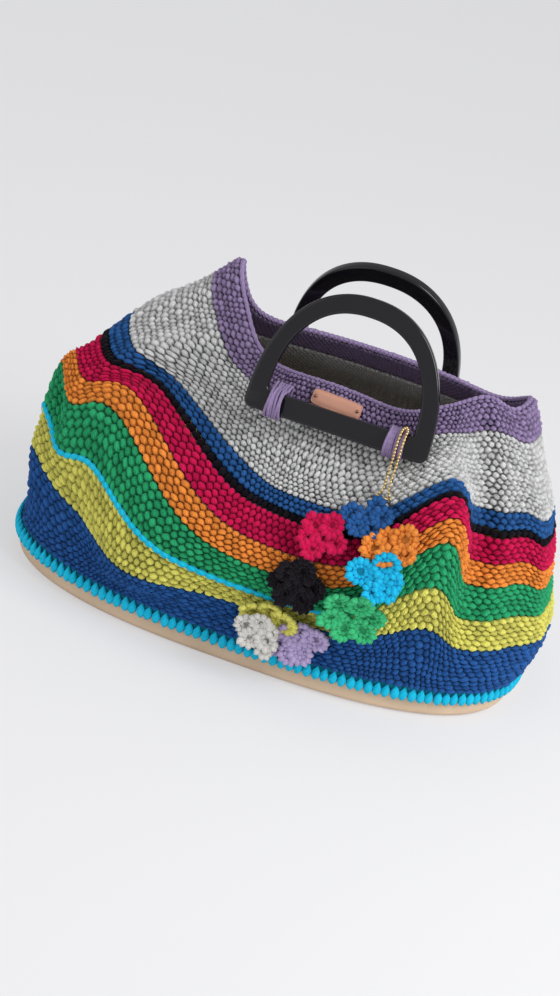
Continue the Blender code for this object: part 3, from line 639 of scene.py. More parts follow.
def stitched_band(name, first_row, rows, levels, stitches, open_work):
    """Closed sheet of stitches: domes outside, flatter ridges inside, and the edges between them."""
    points, tone, depth, ply = stitch_grid(first_row, rows, levels, stitches)
    count = len(points[0][0])
    angle = np.stack([p[0] for p in points])
    level = np.stack([p[1] for p in points])
    swell = np.stack([p[2] for p in points])
    lift = -stitches.valley + (stitches.valley + stitches.crest) * swell
    if open_work:
        junction = swell < 0.5
        rows_of = np.arange(len(points))[:, None] * np.ones(count)
        holes = junction & (scatter(np.round(np.arange(count) / ACROSS * 2)[None, :], rows_of) < open_work)
        lift = lift - holes * 3.0 * MM
        # Painted shade in the pits
        depth = [d - 0.8 * h for d, h in zip(depth, holes)]
        lift = lift + 2.4 * open_work * MM * (scatter(np.arange(count)[None, :] * 1.0, rows_of + 3) - 0.5)
    lines = len(points)
    outer = off_wall(angle, level, lift)
    inner_lines = 2 * rows + 1
    inner_angle = np.stack([even_angles(stitches.around)(np.arange(count) / ACROSS)] * inner_lines)
    rise = np.linspace(0, 1, inner_lines)[:, None] * np.ones(count)
    inner_level = levels[0] + (levels[1] - levels[0]) * rise
    inner_level[0], inner_level[-1] = level[0], level[-1]
    inner_angle[0], inner_angle[-1] = angle[0], angle[-1]
    across = np.cos(math.tau * np.arange(count) / ACROSS)
    upwards = np.where(np.arange(inner_lines) % 2, 1, -1)
    inner_bump = (1 + across[None, :] * upwards[:, None]) / 2
    inner_depth = -WALL + 0.3 * MM - 1.8 * MM * inner_bump
    inner_depth[0], inner_depth[-1] = -WALL, -WALL
    inner = off_wall(inner_angle, inner_level, inner_depth)
    all_points = np.concatenate([outer.reshape(-1, 3), inner.reshape(-1, 3)])
    faces = []
    start = lines * count
    for i in range(lines - 1):
        a, b = i * count, (i + 1) * count
        faces.extend([(a + j, a + (j + 1) % count, b + (j + 1) % count, b + j) for j in range(count)])
    for i in range(inner_lines - 1):
        a, b = start + i * count, start + (i + 1) * count
        first, last = i == 0, i == inner_lines - 2
        for j in range(0, count, 2):
            k, m = j + 1, (j + 2) % count
            low = (a + j, a + k, a + m) if first else (a + j, a + m)
            high = (b + j, b + k, b + m) if last else (b + j, b + m)
            faces.append(tuple(high) + tuple(reversed(low)))
    for a, b, turned in ((0, start, False), ((lines - 1) * count, start + (inner_lines - 1) * count, True)):
        for j in range(count):
            k = (j + 1) % count
            face = (a + j, b + j, b + k, a + k)
            faces.append(tuple(reversed(face)) if turned else face)
    inner_count = inner_lines * count
    inner_ply = np.tile(np.arange(count) / ACROSS * 3, inner_lines)
    # Painted shade on the inner face: dark all over, since the inside of the bag lies in shadow, darkest
    # between its ridges, with a low tone too
    shades = {"tone": np.concatenate([*tone, np.full(inner_count, 0.3)]),
              "depth": np.concatenate([*depth, (0.15 + 0.75 * inner_bump).ravel()]),
              "ply": np.concatenate([*ply, inner_ply])}
    mesh = make_mesh(name, all_points, faces, shades)
    build = bmesh.new()
    build.from_mesh(mesh)
    bmesh.ops.delete(build, geom=[v for v in build.verts if not v.link_faces], context="VERTS")
    build.to_mesh(mesh)
    build.free()
    return mesh


def drop_form(length, width, height, point_share, rings, sides):
    """A plump closed drop that lies along Y, with Z out of the wall."""
    steps = np.linspace(0, 1, rings)
    girth = np.sin(math.pi * np.clip(steps, 0.02, 0.985) ** point_share) ** 0.75
    path = np.stack([np.zeros(rings), (steps - 0.5) * length, np.zeros(rings)], -1)
    points = swept(path, girth * width / 2, girth * height / 2, sides, (0, 0, 1))
    return points, ring_faces(rings, sides)


def lay(points, matrix):
    return points @ np.array(matrix.to_3x3()).T + np.array(matrix.translation)


class TOTE_OT_body(bpy.types.Operator):
    """Works the colour bands of the body, stitch by stitch"""
    bl_idname = "tote.body"
    bl_label = "Crochet body"

    def execute(self, context):
        settings = context.scene.tote_stitches
        yarns = context.scene.tote_yarns
        levels = band_levels()
        row = 0
        for index, (node, _, rows, colour) in enumerate(BANDS):
            if rows == 0:
                continue
            fluff = {"grey": 0.5, "purple": 0.15}.get(colour, 0.0)
            open_work = {"grey": 0.50, "purple": 0.24, "upper_blue": 0.10}.get(colour, 0.0)
            mesh = stitched_band(node + "_stitches", row, rows, levels[index:index + 2], settings, open_work)
            finish = yarn("yarn_" + colour, getattr(yarns, colour), fluff)
            place(node + "_stitches", mesh, finish, "bag", "yarn_" + colour, node)
            row += rows
        self.rim_edge(settings, yarns)
        return {"FINISHED"}

    def rim_edge(self, settings, yarns):
        """Top loops of the last row, which lie over the rim like a plait."""
        count = settings.around
        angle_at = even_angles(count)
        lump = Lump()
        for i in range(count):
            a, b = float(angle_at(i)), float(angle_at(i + 1.0))
            if b < a:
                b += 360
            middle = (a + b) / 2
            steps = np.linspace(-0.25, 1.25, 7)
            angles = a + (b - a) * steps
            lift = -2.3 * MM + 0.9 * MM * np.cos(math.pi * (steps + 0.25))
            path = off_wall(angles, np.full(7, 0.998), lift)
            up = np.array(wall_point(middle, 1.0) - wall_point(middle, 0.97))
            up /= np.linalg.norm(up)
            path = path + up * 1.3 * MM
            girth = np.sin(math.pi * np.linspace(0.06, 0.94, 7)) ** 0.6
            tone = float(scatter(float(i), 5.0))
            points = swept(path, girth * 2.5 * MM, girth * 2.0 * MM * (0.9 + 0.2 * tone), 8, up)
            # Slight painted shade over each loop (shade value 0.9)
            lump.add(points, ring_faces(7, 8), tone, 0.9, plies(7, 8, 0.3))
        finish = yarn("yarn_rim_edge", yarns.purple, 0.15)
        place("rim_edge_loops", lump.mesh("rim_edge_loops"), finish, "bag", "yarn_purple")


class TOTE_OT_edge_rows(bpy.types.Operator):
    """Works the turquoise row through the leather edge, and the thin turquoise row higher up"""
    bl_idname = "tote.edge_rows"
    bl_label = "Turquoise rows"

    def execute(self, context):
        settings = context.scene.tote_stitches
        colour = context.scene.tote_yarns.turquoise
        finish = yarn("yarn_turquoise", colour)
        levels = band_levels()
        lump = Lump()
        angle_at = even_angles(settings.bulbs, 0.0)
        for i in range(settings.bulbs):
            wild = float(scatter(float(i), 2.0))
            angle = float(angle_at(i + 0.12 * (wild - 0.5)))
            form, faces = drop_form((13.6 + 1.2 * wild) * MM, (7.7 + 0.5 * wild) * MM, 5.8 * MM, 0.72, 9, 10)
            form[:, 0] *= 1 - 0.42 * np.clip(form[:, 1] / (6 * MM), 0, 1)
            out = Vector(wall_normal(angle, 0.004))
            out = Vector((out.x, out.y, 0)).normalized()
            up = Vector((0, 0, 1))
            turned = Matrix((up.cross(out), up, out)).transposed().to_4x4() @ Matrix.Rotation(-0.05, 4, "X")
            centre = Vector(wall_point(angle, 0.0)) + Vector((0, 0, 2.2 * MM)) + out * 0.2 * MM
            turned = Matrix.Translation(centre) @ turned @ Matrix.Rotation((wild - 0.5) * 0.16, 4, "Z")
            # Painted shade: each edge stitch darker towards the wall
            depth = 0.5 + 0.5 * np.clip(form[:, 2] / (2.2 * MM), 0, 1)
            lump.add(lay(form, turned), faces, wild, depth, plies(9, 10, 0.3))
        columns = np.linspace(0, 360, 240, endpoint=False)
        profile = ((-5.0 * MM, 2.2 * MM), (-5.0 * MM, 0.0), (-1.6 * MM, 0.0), (-1.6 * MM, 4.0 * MM),
                   (-1.6 * MM, 9.0 * MM), (-5.0 * MM, 9.0 * MM))
        rings = []
        for inset, height in profile:
            flat = np.ones(len(columns))
            ring = off_wall(columns, flat * (height / WALL_HEIGHT), flat * inset)
            rings.append(ring + np.array((0, 0, 0.4 * MM if height == 0 else 0)))
        faces = [tuple(reversed(face)) for face in ring_faces(len(rings), len(columns), closed=True)]
        # Painted shade: the ring behind the edge stitches is painted nearly in full shade
        lump.add(np.concatenate(rings), faces, 0.2, 0.05)
        place("edge_row_stitches", lump.mesh("edge_row_stitches"), finish, "bag", "yarn_turquoise",
              "base_row_turquoise")
        self.thin_line(settings, finish, levels)
        return {"FINISHED"}

    def thin_line(self, settings, finish, levels):
        lump = Lump()
        index = [band[0] for band in BANDS].index("line_turquoise")
        angle_at = even_angles(settings.around)
        for i in range(settings.around):
            angle = float(angle_at(i + 0.5))
            if not LINE_FROM < angle < LINE_TO:
                continue
            wild = float(scatter(float(i), 7.0))
            here, there = wall_point(angle - 2, levels[index]), wall_point(angle + 2, levels[index])
            frame_at = wall_frame(angle, levels[index], 1.5 * MM)
            local = frame_at.inverted().to_3x3() @ Vector(there - here)
            slope = math.atan2(local.y, local.x)
            step = np.linalg.norm(wall_point(float(angle_at(i + 1.0)), levels[index])
                                  - wall_point(float(angle_at(i * 1.0)), levels[index]))
            form, faces = drop_form(step * 1.45, 5.8 * MM, 4.4 * MM, 0.8, 7, 8)
            turned = frame_at @ Matrix.Rotation(slope - math.pi / 2 + 0.18, 4, "Z")
            # Painted shade: each stitch darker towards the wall
            lump.add(lay(form, turned), faces, wild, 0.5 + 0.5 * np.clip(form[:, 2] / (1.6 * MM), 0, 1),
                     plies(7, 8, 0.35))
        mesh = lump.mesh("line_turquoise_stitches")
        place("line_turquoise_stitches", mesh, finish, "bag", "yarn_turquoise", "line_turquoise")


class TOTE_OT_leather(bpy.types.Operator):
    """Makes the leather base and the bare label with its two fixings"""
    bl_idname = "tote.leather"
    bl_label = "Leather base and label"

    def execute(self, context):
        trim = context.scene.tote_trim
        self.base(smooth_leather("leather_natural", trim.leather, 420.0, 0.42, 0.7))
        self.label(trim)
        return {"FINISHED"}

    # Tray from below, up the outside, over the edge and down the inside: inset, height, shade, lengths in mm
    TRAY = (
        (11.0, 0.0, 0.5), (8.2, 0.25, 0.6), (6.4, 1.1, 0.7), (4.9, 2.6, 0.9),
        (4.1, 4.6, 1.0), (4.0, 8.0, 1.0), (3.9, 13.0, 1.0), (4.0, 17.5, 0.8),
        (4.1, 19.2, 0.35), (4.5, 19.9, 0.1), (6.0, 19.9, 0.1), (6.4, 19.2, 0.5),
        (6.5, 12.0, 1.0), (6.6, 7.0, 1.0), (8.4, 4.2, 1.0), (12.0, 2.6, 1.0),
    )

    def base(self, finish):
        columns = np.linspace(0, 360, 320, endpoint=False)
        rings, depth = [], []
        for inset, height, shade in self.TRAY:
            ring = off_wall(columns, np.zeros(len(columns)), np.full(len(columns), -inset * MM))
            ripple = 0.25 * MM * np.sin(columns * DEG * 9 + 1.0) * (height > 3) * (height < 19)
            ring[:, 2] = height * MM
            ring[:, :2] *= (1 + ripple / 0.2)[:, None]
            rings.append(ring)
            # Painted shade: darker down at the floor and at the top lip under the edge stitches
            depth.append(np.full(len(columns), shade))
        middle = np.array((0.0, -2 * MM, 0.0))
        low = len(rings) * len(columns)
        points = np.concatenate(rings + [np.array([middle, middle + (0, 0, 2.5 * MM)])])
        faces = ring_faces(len(rings), len(columns), caps=False)
        last = (len(rings) - 1) * len(columns)
        for j in range(len(columns)):
            k = (j + 1) % len(columns)
            faces.append((low, k, j))
            faces.append((last + j, last + k, low + 1))
        shades = {"depth": np.concatenate(depth + [np.ones(2)])}
        mesh = make_mesh("leather_base_skin", points, faces, shades)
        place("leather_base_skin", mesh, finish, "bag", "base_leather", "leather_base")

    def label(self, trim):
        """Bare tag with rounded corners and a pressed border."""
        axes = wall_frame(*LABEL_AT, 0.0)
        back = axes.inverted()
        inside = [back @ vertex.co for vertex in frame["nodes"]["label"].data.vertices]
        low = Vector([min(p[i] for p in inside) for i in range(3)])
        high = Vector([max(p[i] for p in inside) for i in range(3)])
        half_length, half_height, thick = (high.x - low.x) / 2, (high.y - low.y) / 2, high.z - low.z
        steps = [(1.0, 0.0), (1.0, 0.55), (0.99, 0.85), (0.965, 1.0), (0.90, 1.0), (0.875, 0.86), (0.85, 1.0),
                 (0.5, 1.03), (0.0, 1.03)]
        turns = np.arange(72) * math.tau / 72
        rings, depth = [], []
        for share, rise in steps:
            inset = (1 - share) * half_height
            across = np.sign(np.cos(turns)) * np.abs(np.cos(turns)) ** 0.28 * (half_length - inset)
            up = np.sign(np.sin(turns)) * np.abs(np.sin(turns)) ** 0.28 * (half_height - inset)
            if share < 0.6:
                across, up = across * share * 1.6, up * share
            z = low.z + thick * rise
            rings.append(np.stack([across, up, np.broadcast_to(z, across.shape)], -1))
            # Painted shade along the tag's edge and in its pressed groove
            depth.append(np.full(72, 0.35 if share in (0.875, 1.0) else 1.0))
        points = np.concatenate(rings)
        faces = ring_faces(len(steps), 72)
        mesh = make_mesh("label_tag", lay(points, axes), faces, {"depth": np.concatenate(depth)})
        mesh.set_sharp_from_angle(angle=50 * DEG)
        place("label_tag", mesh, smooth_leather("leather_label", trim.label, 700.0, 0.30, 0.5), "bag",
              "label_leather", "label")
        metal = bright_metal("copper_dull", (0.36, 0.20, 0.15), 0.4)
        for node in ("label_rivet_left", "label_rivet_right"):
            points = [back @ vertex.co for vertex in frame["nodes"][node].data.vertices]
            lowest = min(p.z for p in points)
            centre = sum((p for p in points), Vector()) / len(points)
            radius = 1.45 * MM
            rings = [(1.0, -0.25), (1.0, 0.25), (0.86, 0.62), (0.55, 0.9), (0.2, 1.0)]
            turns = np.arange(18) * math.tau / 18
            circle = np.stack([np.cos(turns), np.sin(turns), 0 * turns], -1) * radius
            form = np.concatenate([circle * share + (centre.x, centre.y, lowest + 0.9 * MM * rise)
                                   for share, rise in rings])
            place(node + "_dome", make_mesh(node + "_dome", lay(form, axes), ring_faces(5, 18)), metal, "bag",
                  "rivet_copper", node)


class TOTE_OT_handles(bpy.types.Operator):
    """Makes the two D handles and the yarn ties that hold them"""
    bl_idname = "tote.handles"
    bl_label = "Handles and ties"

    def execute(self, context):
        sizes = context.scene.tote_handles
        resin = black_resin(sizes.colour)
        strands = yarn("yarn_ties", context.scene.tote_yarns.purple, 0.1)
        for place_name, side, bar in (("front", -1, FRONT_BAR), ("back", 1, BACK_BAR)):
            body = place_name + "_handle"
            mesh = self.handle(sizes)
            turn = Matrix.Translation(bar) @ Matrix.Rotation(math.pi / 2 + side * sizes.lean, 4, "X")
            mesh.transform(turn)
            place("d_" + body, mesh, resin, body, "handle_black", "handle_" + place_name)
            for tie in ("left", "right"):
                self.tie(f"tie_{place_name}_{tie}", side, bar, sizes, strands)
        return {"FINISHED"}

    def outline(self, sizes, inset, foot):
        half = sizes.width / 2 - inset
        low = -sizes.bar / 2 + foot
        top = sizes.height - sizes.bar / 2 - inset
        corner = 7 * MM if foot == 0 else 3.5 * MM
        start = low + corner
        points = []
        for i in range(9):
            turn = -math.pi / 2 + i * math.pi / 16
            points.append((half - corner + corner * math.cos(turn), low + corner + corner * math.sin(turn)))
        for i in range(1, 72):
            turn = i * math.pi / 72
            across, rise = oval(math.cos(turn), 2.25), oval(math.sin(turn), 2.25)
            points.append((half * across, start + (top - start) * rise))
        for i in range(9):
            turn = math.pi + i * math.pi / 16
            points.append((-half + corner + corner * math.cos(turn), low + corner + corner * math.sin(turn)))
        return points

    def handle(self, sizes):
        curve = bpy.data.curves.new("d_outline", "CURVE")
        curve.dimensions = "2D"
        curve.fill_mode = "BOTH"
        curve.extrude = sizes.thickness / 2 - sizes.edge
        curve.bevel_depth = sizes.edge
        curve.bevel_resolution = 3
        curve.offset = -sizes.edge
        for outline in (self.outline(sizes, 0, 0), self.outline(sizes, sizes.arch, sizes.bar)):
            spline = curve.splines.new("POLY")
            spline.points.add(len(outline) - 1)
            for knot, (x, y) in zip(spline.points, outline):
                knot.co = (x, y, 0, 1)
            spline.use_cyclic_u = True
        flat = bpy.data.objects.new("d_outline", curve)
        bpy.context.scene.collection.objects.link(flat)
        bpy.context.view_layer.update()
        mesh = bpy.data.meshes.new_from_object(flat.evaluated_get(bpy.context.evaluated_depsgraph_get()))
        bpy.data.objects.remove(flat)
        build = bmesh.new()
        build.from_mesh(mesh)
        bmesh.ops.remove_doubles(build, verts=build.verts, dist=0.00001)
        build.to_mesh(mesh)
        build.free()
        mesh.shade_smooth()
        mesh.set_sharp_from_angle(angle=32 * DEG)
        return mesh

    def tie(self, node, side, bar, sizes, finish):
        """Strands of yarn that come out of the rim, go round the bar and back in."""
        low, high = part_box(node)
        reach = (bar.y - low.y) if side > 0 else (high.y - bar.y)
        lump = Lump()
        ring = TIE_RADIUS + sizes.strand * 0.9
        count = round((high.x - low.x) / (sizes.strand * 1.75))
        turns = np.linspace(0, math.tau, 32, endpoint=False)
        for i in range(count):
            wild = float(scatter(float(i), float(len(node)), 3.0))
            x = low.x + (i + 0.5) * (high.x - low.x) / count
            pull = np.clip(np.cos(turns), 0, 1) ** 6
            radius = ring + (wild - 0.4) * 0.9 * MM + (reach + 2.6 * MM - ring) * pull
            lift = np.sin(turns) * radius + pull * 3 * MM
            sway = (wild - 0.5) * 1.2 * MM + 0.5 * MM * np.sin(turns * 2 + 6 * wild)
            gather = 1 - 0.09 * np.cos(turns - 2.4)
            middle = (low.x + high.x) / 2
            path = np.stack([middle + (x - middle) * gather + sway,
                             bar.y - side * np.cos(turns) * radius, bar.z + lift], -1)
            points = swept(path, sizes.strand, sizes.strand, 8, (1, 0, 0), closed=True)
            # Slight painted shade over each strand (shade value 0.85)
            lump.add(points, ring_faces(len(turns), 8, closed=True), wild, 0.85, plies(len(turns), 8, 0.5))
        place(node + "_strands", lump.mesh(node + "_strands"), finish, "bag", "yarn_purple", node)


class TOTE_OT_chain(bpy.types.Operator):
    """Strings the ball chain over the bar and closes it with its clasp"""
    bl_idname = "tote.chain"
    bl_label = "Ball chain"

    def execute(self, context):
        trim = context.scene.tote_trim
        gold = bright_metal("gold_tone", trim.gold, 0.16)
        path = self.route(trim)
        lump = Lump()
        for point in path:
            rings = np.linspace(0.06, 0.94, 7) * math.pi
            turns = np.arange(10) * math.tau / 10
            ball = np.concatenate([np.stack([np.sin(r) * np.cos(turns), np.sin(r) * np.sin(turns),
                                             np.full(10, -np.cos(r))], -1) for r in rings])
            lump.add(ball * trim.bead + point, ring_faces(7, 10), 0.5, 1.0)
        for a, b in zip(path[:-1], path[1:]):
            link = np.stack([a + (b - a) * t for t in (0.2, 0.5, 0.8)])
            side = np.cross(b - a, (0.3, 0.9, 0.2))
            lump.add(swept(link, 0.38 * MM, 0.38 * MM, 6, side), ring_faces(3, 6), 0.5, 1.0)
        place("chain_balls", lump.mesh("chain_balls"), gold, "chain", "chain_gold", "ball_chain")
        low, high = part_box("chain_clasp")
        middle = (low + high) / 2
        half = (high.x - low.x) / 2
        profile = [(-1.0, 0.55), (-0.96, 0.95), (-0.55, 1.08), (-0.4, 0.9), (0.4, 0.9), (0.55, 1.08),
                   (0.96, 0.95), (1.0, 0.55)]
        path = np.array([(middle.x + share * half, middle.y, middle.z) for share, _ in profile])
        girth = np.array([size for _, size in profile]) * 1.6 * MM
        points = swept(path, girth, girth, 16, (0, 0, 1))
        mesh = make_mesh("chain_connector", points, ring_faces(len(profile), 16))
        place("chain_connector", mesh, gold, "chain", "chain_gold", "chain_clasp")
        return {"FINISHED"}

    def route(self, trim):
        """The loop's line, from the clasp up, over the tie round the bar, and back down."""
        clasp_low, clasp_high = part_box("chain_clasp")
        foot = (clasp_low + clasp_high) / 2
        half = (clasp_high.x - clasp_low.x) / 2
        radius = TIE_RADIUS + TIE_YARN + trim.bead + 0.25 * MM
        spread, pitch = 2.2 * MM, trim.pitch

        def over(turn):
            return (FRONT_BAR.y - radius * math.cos(turn * DEG), FRONT_BAR.z + radius * math.sin(turn * DEG))

        up = [(-half - 0.3 * MM, foot.y, foot.z), (-half - pitch, foot.y, foot.z + 0.5 * pitch),
              (-spread, foot.y, foot.z + 3 * pitch), (-spread, over(0)[0], FRONT_BAR.z - 3 * pitch)]
        up += [(-spread, *over(turn)) for turn in (0, 30, 60)]
        up += [(-0.8 * spread, *over(82)), (0.0, *over(98))]
        points = [(foot.x + x, y, z) for x, y, z in up + [(-x, y, z) for x, y, z in reversed(up[:-1])]]
        points = np.array(points)
        ends = np.vstack([2 * points[0] - points[1], points, 2 * points[-1] - points[-2]])
        fine = []
        for i in range(1, len(ends) - 2):
            a, b, c, d = ends[i - 1:i + 3]
            fine.extend(between(a, b, c, d, t) for t in np.linspace(0, 1, 24, endpoint=False))
        fine = np.array(fine + [points[-1]])
        length = np.concatenate([[0], np.cumsum(np.linalg.norm(np.diff(fine, axis=0), axis=1))])
        marks = np.linspace(0, length[-1], round(length[-1] / pitch) + 1)
        return np.stack([np.interp(marks, length, fine[:, axis]) for axis in range(3)], -1)


class TOTE_OT_charm(bpy.types.Operator):
    """Crochets the flowers and the yarn ring that they hang on"""
    bl_idname = "tote.charm"
    bl_label = "Flower charm"

    def execute(self, context):
        yarns, trim = context.scene.tote_yarns, context.scene.tote_trim
        for index, (node, angle, level, lift, colour, petals) in enumerate(FLOWERS):
            fluff = 0.45 if colour in ("white", "lilac") else 0.1
            finish = yarn("petal_" + colour, getattr(yarns, colour), fluff)
            mesh = self.flower(node, angle, level, lift, petals, index, trim.petal)
            slot = "yarn_" + {"flower_green": "green"}.get(colour, colour)
            place(node + "_petals", mesh, finish, "charm", slot, node)
        self.ring()
        return {"FINISHED"}

    def ring(self):
        """Short yarn that the flowers are strung on."""
        knots = np.array([(flower[1], flower[2]) for flower in FLOWERS])
        count = len(knots)
        looped = np.vstack([knots, knots[:1]])
        route = []
        for i in range(count):
            a, b, c, d = knots[i - 1], looped[i], looped[i + 1], knots[(i + 2) % count]
            route.extend(between(a, b, c, d, t) for t in np.linspace(0, 1, 10, endpoint=False))
        route = np.array(route)
        path = off_wall(route[:, 0], route[:, 1], np.full(len(route), RING_LIFT))
        steps = np.arange(len(path))
        lump = Lump()
        for strand in range(2):
            turn = steps * 0.9 + strand * math.pi
            out = wall_normal(route[:, 0], route[:, 1])
            tangent = np.roll(path, -1, 0) - np.roll(path, 1, 0)
            tangent /= np.linalg.norm(tangent, axis=1, keepdims=True)
            side = np.cross(out, tangent)
            twisted = path + 0.6 * MM * (out * np.cos(turn)[:, None] + side * np.sin(turn)[:, None])
            points = swept(twisted, 0.8 * MM, 0.8 * MM, 8, out, closed=True)
            # Painted shade: the ring yarn is darkened evenly (shade value 0.7)
            lump.add(points, ring_faces(len(path), 8, closed=True), 0.4, 0.7)
        finish = yarn("yarn_ring", (0.20, 0.20, 0.21), 0.3)
        place("charm_ring_yarn", lump.mesh("charm_ring_yarn"), finish, "charm", "ring_yarn", "charm_ring")

    def flower(self, node, angle, level, lift, petals, index, thick):
        """Petals laid round a knot, each one worked as a cup with a rolled edge."""
        right, up, out = FLOWER_SHIFT[node]
        stem_axes = wall_frame(angle, level, RING_LIFT)
        flop = Matrix.Translation((right * MM, up * MM, out * MM))
        axes = wall_frame(angle, level, FLOWER_LIFT + lift) @ flop
        lump = Lump()
        for number, (direction, distance, radius) in enumerate(petals):
            wild = float(scatter(index * 1.0, number * 1.0))
            turned = (axes @ Matrix.Rotation(direction * DEG, 4, "Z")
                      @ Matrix.Rotation(-(6 + 10 * wild) * DEG, 4, "Y")
                      @ Matrix.Translation((0, 0, (1.2 + 1.6 * (number % 2)) * MM)))
            self.petal(lump, turned, distance * MM, radius * MM, thick, wild, index * 7 + number)
        for i in range(6):
            turned = (axes @ Matrix.Rotation(i * math.tau / 6 + index, 4, "Z")
                      @ Matrix.Translation((3.0 * MM, 0, 3.2 * MM)) @ Matrix.Rotation(-0.5, 4, "Y"))
            form, faces = drop_form(5.2 * MM, 4.0 * MM, 3.6 * MM, 0.9, 7, 8)
            # Painted shade on the centre drops (shade value 0.45)
            lump.add(lay(form[:, [1, 0, 2]] * (1, -1, 1), turned), faces, 0.4, 0.45, plies(7, 8, 0.35))
        end = stem_axes.inverted() @ axes @ Vector((0, 0, 2 * MM))
        stem = np.array([Vector((0, 0, 0)).lerp(end, t) for t in (0.0, 0.5, 1.0)])
        # Painted shade on the stem (shade value 0.4)
        lump.add(lay(swept(stem, 1.5 * MM, 1.5 * MM, 8, (0, 1, 0.1)), stem_axes), ring_faces(3, 8), 0.3, 0.4)
        return lump.mesh(node + "_petals")

    def petal(self, lump, turned, distance, radius, thick, wild, seed):
        """A closed cup of yarn, a rolled edge of fat stitches and a few finer ones inside it."""
        start = max(distance - radius, 1.5 * MM) * 0.6
        middle, reach = (start + distance + radius) / 2, (distance + radius - start) / 2
        sides = 24
        turns = np.arange(sides) * math.tau / sides
        rings = [(0.03, 1), (0.35, 1), (0.65, 1), (0.86, 1), (0.97, 0), (0.86, -1), (0.5, -1), (0.03, -1)]
        points, depth = [], []
        for share, face in rings:
            x = middle + share * reach * 0.93 * np.cos(turns)
            y = share * radius * 0.93 * np.sin(turns)
            bowl = 2.6 * MM * share**2 - 0.8 * MM
            groove = (face > 0) * 0.4 * MM * np.cos(turns * 6 + seed) * (share > 0.2)
            z = bowl + face * thick * 0.32 * (1 - share**4) ** 0.5 + groove
            points.append(np.stack([x, y, np.broadcast_to(z, x.shape)], -1))
            # Painted shade: the cup's top darker towards its middle, its back and rim evenly dark
            depth.append(np.full(sides, 0.28 + 0.25 * share if face > 0 else 0.4))
        faces = [tuple(reversed(face)) for face in ring_faces(len(rings), sides)]
        lump.add(lay(np.concatenate(points), turned), faces, wild, np.concatenate(depth))
        around = math.pi * (radius + reach)
        count = max(8, round(around / (5.6 * MM)))
        edge, inner = (0.86, count, 1.0, 2.6 * MM), (0.48, count - 3, 0.72, 1.3 * MM)
        for ring_share, number, size, height in (edge, inner):
            for i in range(number):
                chance = float(scatter(float(seed), float(i), ring_share * 10))
                turn = (i + 0.35 * chance + 0.5 * (ring_share < 0.6)) * math.tau / number
                centre = Vector((middle + ring_share * reach * math.cos(turn),
                                 ring_share * radius * math.sin(turn), height + 0.9 * MM * (chance - 0.4)))
                form, faces = drop_form((6.6 + 1.6 * chance) * size * MM, (5.9 + 0.7 * chance) * size * MM,
                                        5.0 * size * MM, 0.85, 7, 8)
                facing = turn - math.pi / 2 + 0.7 * (chance - 0.5)
                local = (Matrix.Translation(centre) @ Matrix.Rotation(facing, 4, "Z")
                         @ Matrix.Rotation(0.35 * (ring_share > 0.6), 4, "X"))
                # Painted shade: each stitch darker towards the petal
                shade = 0.45 + 0.55 * np.clip(form[:, 2] / (2 * size * MM), 0, 1)
                lump.add(lay(form, turned @ local), faces, chance, shade, plies(7, 8, 0.35))


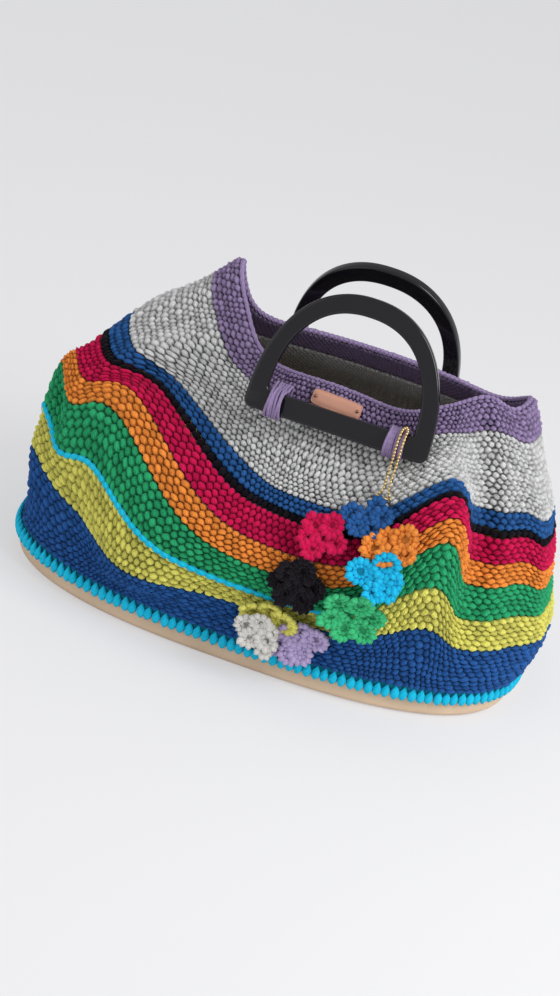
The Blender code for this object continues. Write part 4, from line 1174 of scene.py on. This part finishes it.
class TOTE_OT_stage(bpy.types.Operator):
    """Sets the floor, the soft light and the camera"""
    bl_idname = "tote.stage"
    bl_label = "Stage, light and camera"

    def execute(self, context):
        stage = context.scene.tote_stage
        self.floor(stage)
        self.light(context, stage)
        self.camera(context, stage)
        context.scene.view_settings.view_transform = "Standard"
        return {"FINISHED"}

    def floor(self, stage):
        bpy.ops.mesh.primitive_grid_add(x_subdivisions=2, y_subdivisions=2, size=14)
        floor = bpy.context.object
        floor.name = "stage_floor"
        floor.location = (0, 0, -0.4 * MM)
        finish = Finish("floor_pale", Base_Color=tuple(stage.floor), Roughness=0.85)
        seen = finish.node("ShaderNodeLightPath")
        glow = finish.node("ShaderNodeEmission", {}, {"Color": (*stage.floor, 1.0)})
        mixed = finish.node("ShaderNodeMixShader", {}, {0: seen * 0.5})
        finish.tree.links.new(finish.shader.outputs[0], mixed.socket.node.inputs[1])
        finish.tree.links.new(glow.socket, mixed.socket.node.inputs[2])
        finish.tree.links.new(mixed.socket, finish.tree.nodes["Material Output"].inputs[0])
        floor.data.materials.append(finish.material)

    def light(self, context, stage):
        world = bpy.data.worlds.new("soft_room")
        context.scene.world = world
        world.use_nodes = True
        nodes, links = world.node_tree.nodes, world.node_tree.links
        sky = nodes["Background"]
        sky.inputs["Color"].default_value = (1.0, 1.0, 1.0, 1.0)
        sky.inputs["Strength"].default_value = stage.sky
        seen = nodes.new("ShaderNodeBackground")
        seen.inputs["Color"].default_value = (*stage.floor, 1.0)
        seen.inputs["Strength"].default_value = 1.0
        path = nodes.new("ShaderNodeLightPath")
        either = nodes.new("ShaderNodeMath")
        either.operation = "MAXIMUM"
        links.new(path.outputs["Is Camera Ray"], either.inputs[0])
        links.new(path.outputs["Is Transmission Ray"], either.inputs[1])
        mixed = nodes.new("ShaderNodeMixShader")
        links.new(either.outputs[0], mixed.inputs[0])
        links.new(sky.outputs[0], mixed.inputs[1])
        links.new(seen.outputs[0], mixed.inputs[2])
        links.new(mixed.outputs[0], nodes["World Output"].inputs[0])
        for name, place_at, size, power in (("key_lamp", (1.15, -0.55, 1.25), 0.9, stage.key),
                                            ("fill_lamp", (-1.2, -1.3, 0.9), 1.4, stage.key * 0.22)):
            lamp = bpy.data.lights.new(name, "AREA")
            lamp.shape = "SQUARE"
            lamp.size = size
            lamp.energy = power
            holder = bpy.data.objects.new(name, lamp)
            context.scene.collection.objects.link(holder)
            holder.location = place_at
            aim = Vector((0, 0, 0.12)) - Vector(place_at)
            holder.rotation_euler = aim.to_track_quat("-Z", "Y").to_euler()

    def camera(self, context, stage):
        lens = bpy.data.cameras.new("photo_camera")
        lens.lens = stage.lens
        lens.sensor_width = 36
        lens.clip_start, lens.clip_end = 0.1, 50
        holder = bpy.data.objects.new("photo_camera", lens)
        context.scene.collection.objects.link(holder)
        level = math.cos(CAMERA_DOWN)
        forward = Vector((-math.sin(CAMERA_YAW) * level, math.cos(CAMERA_YAW) * level,
                          -math.sin(CAMERA_DOWN)))
        right = Vector((math.cos(CAMERA_YAW), math.sin(CAMERA_YAW), 0))
        above = right.cross(forward)
        across = right * math.cos(CAMERA_ROLL) + above * math.sin(CAMERA_ROLL)
        rise = -right * math.sin(CAMERA_ROLL) + above * math.cos(CAMERA_ROLL)
        turned = Matrix((across, rise, -forward)).transposed().to_4x4()
        holder.matrix_world = Matrix.Translation(CAMERA_AT) @ turned
        context.scene.camera = holder


class TOTE_PT_panel(bpy.types.Panel):
    """Lists the steps that build the bag"""
    bl_idname = "TOTE_PT_panel"
    bl_label = "Crocheted tote bag"
    bl_space_type = "VIEW_3D"
    bl_region_type = "UI"
    bl_category = "Tote"

    def draw(self, context):
        for operator in STEPS:
            self.layout.operator(operator.bl_idname)
        for group in GROUPS:
            self.layout.label(text=group.__doc__)
            settings = getattr(context.scene, GROUPS[group])
            for name in group.__annotations__:
                self.layout.prop(settings, name)


GROUPS = {ToteYarns: "tote_yarns", ToteStitches: "tote_stitches", ToteHandles: "tote_handles",
          ToteTrim: "tote_trim", ToteStage: "tote_stage"}
STEPS = (TOTE_OT_body, TOTE_OT_edge_rows, TOTE_OT_leather, TOTE_OT_handles, TOTE_OT_chain, TOTE_OT_charm,
         TOTE_OT_stage)


def register():
    for group, name in GROUPS.items():
        bpy.utils.register_class(group)
        setattr(bpy.types.Scene, name, bpy.props.PointerProperty(type=group))
    for operator in (*STEPS, TOTE_PT_panel):
        bpy.utils.register_class(operator)


def unregister():
    for operator in reversed((*STEPS, TOTE_PT_panel)):
        bpy.utils.unregister_class(operator)
    for group, name in reversed(GROUPS.items()):
        delattr(bpy.types.Scene, name)
        bpy.utils.unregister_class(group)


def main():
    register()
    bpy.ops.tote.body()
    bpy.ops.tote.edge_rows()
    bpy.ops.tote.leather()
    bpy.ops.tote.handles()
    bpy.ops.tote.chain()
    bpy.ops.tote.charm()
    bpy.ops.tote.stage()


if __name__ == "__main__":
    main()
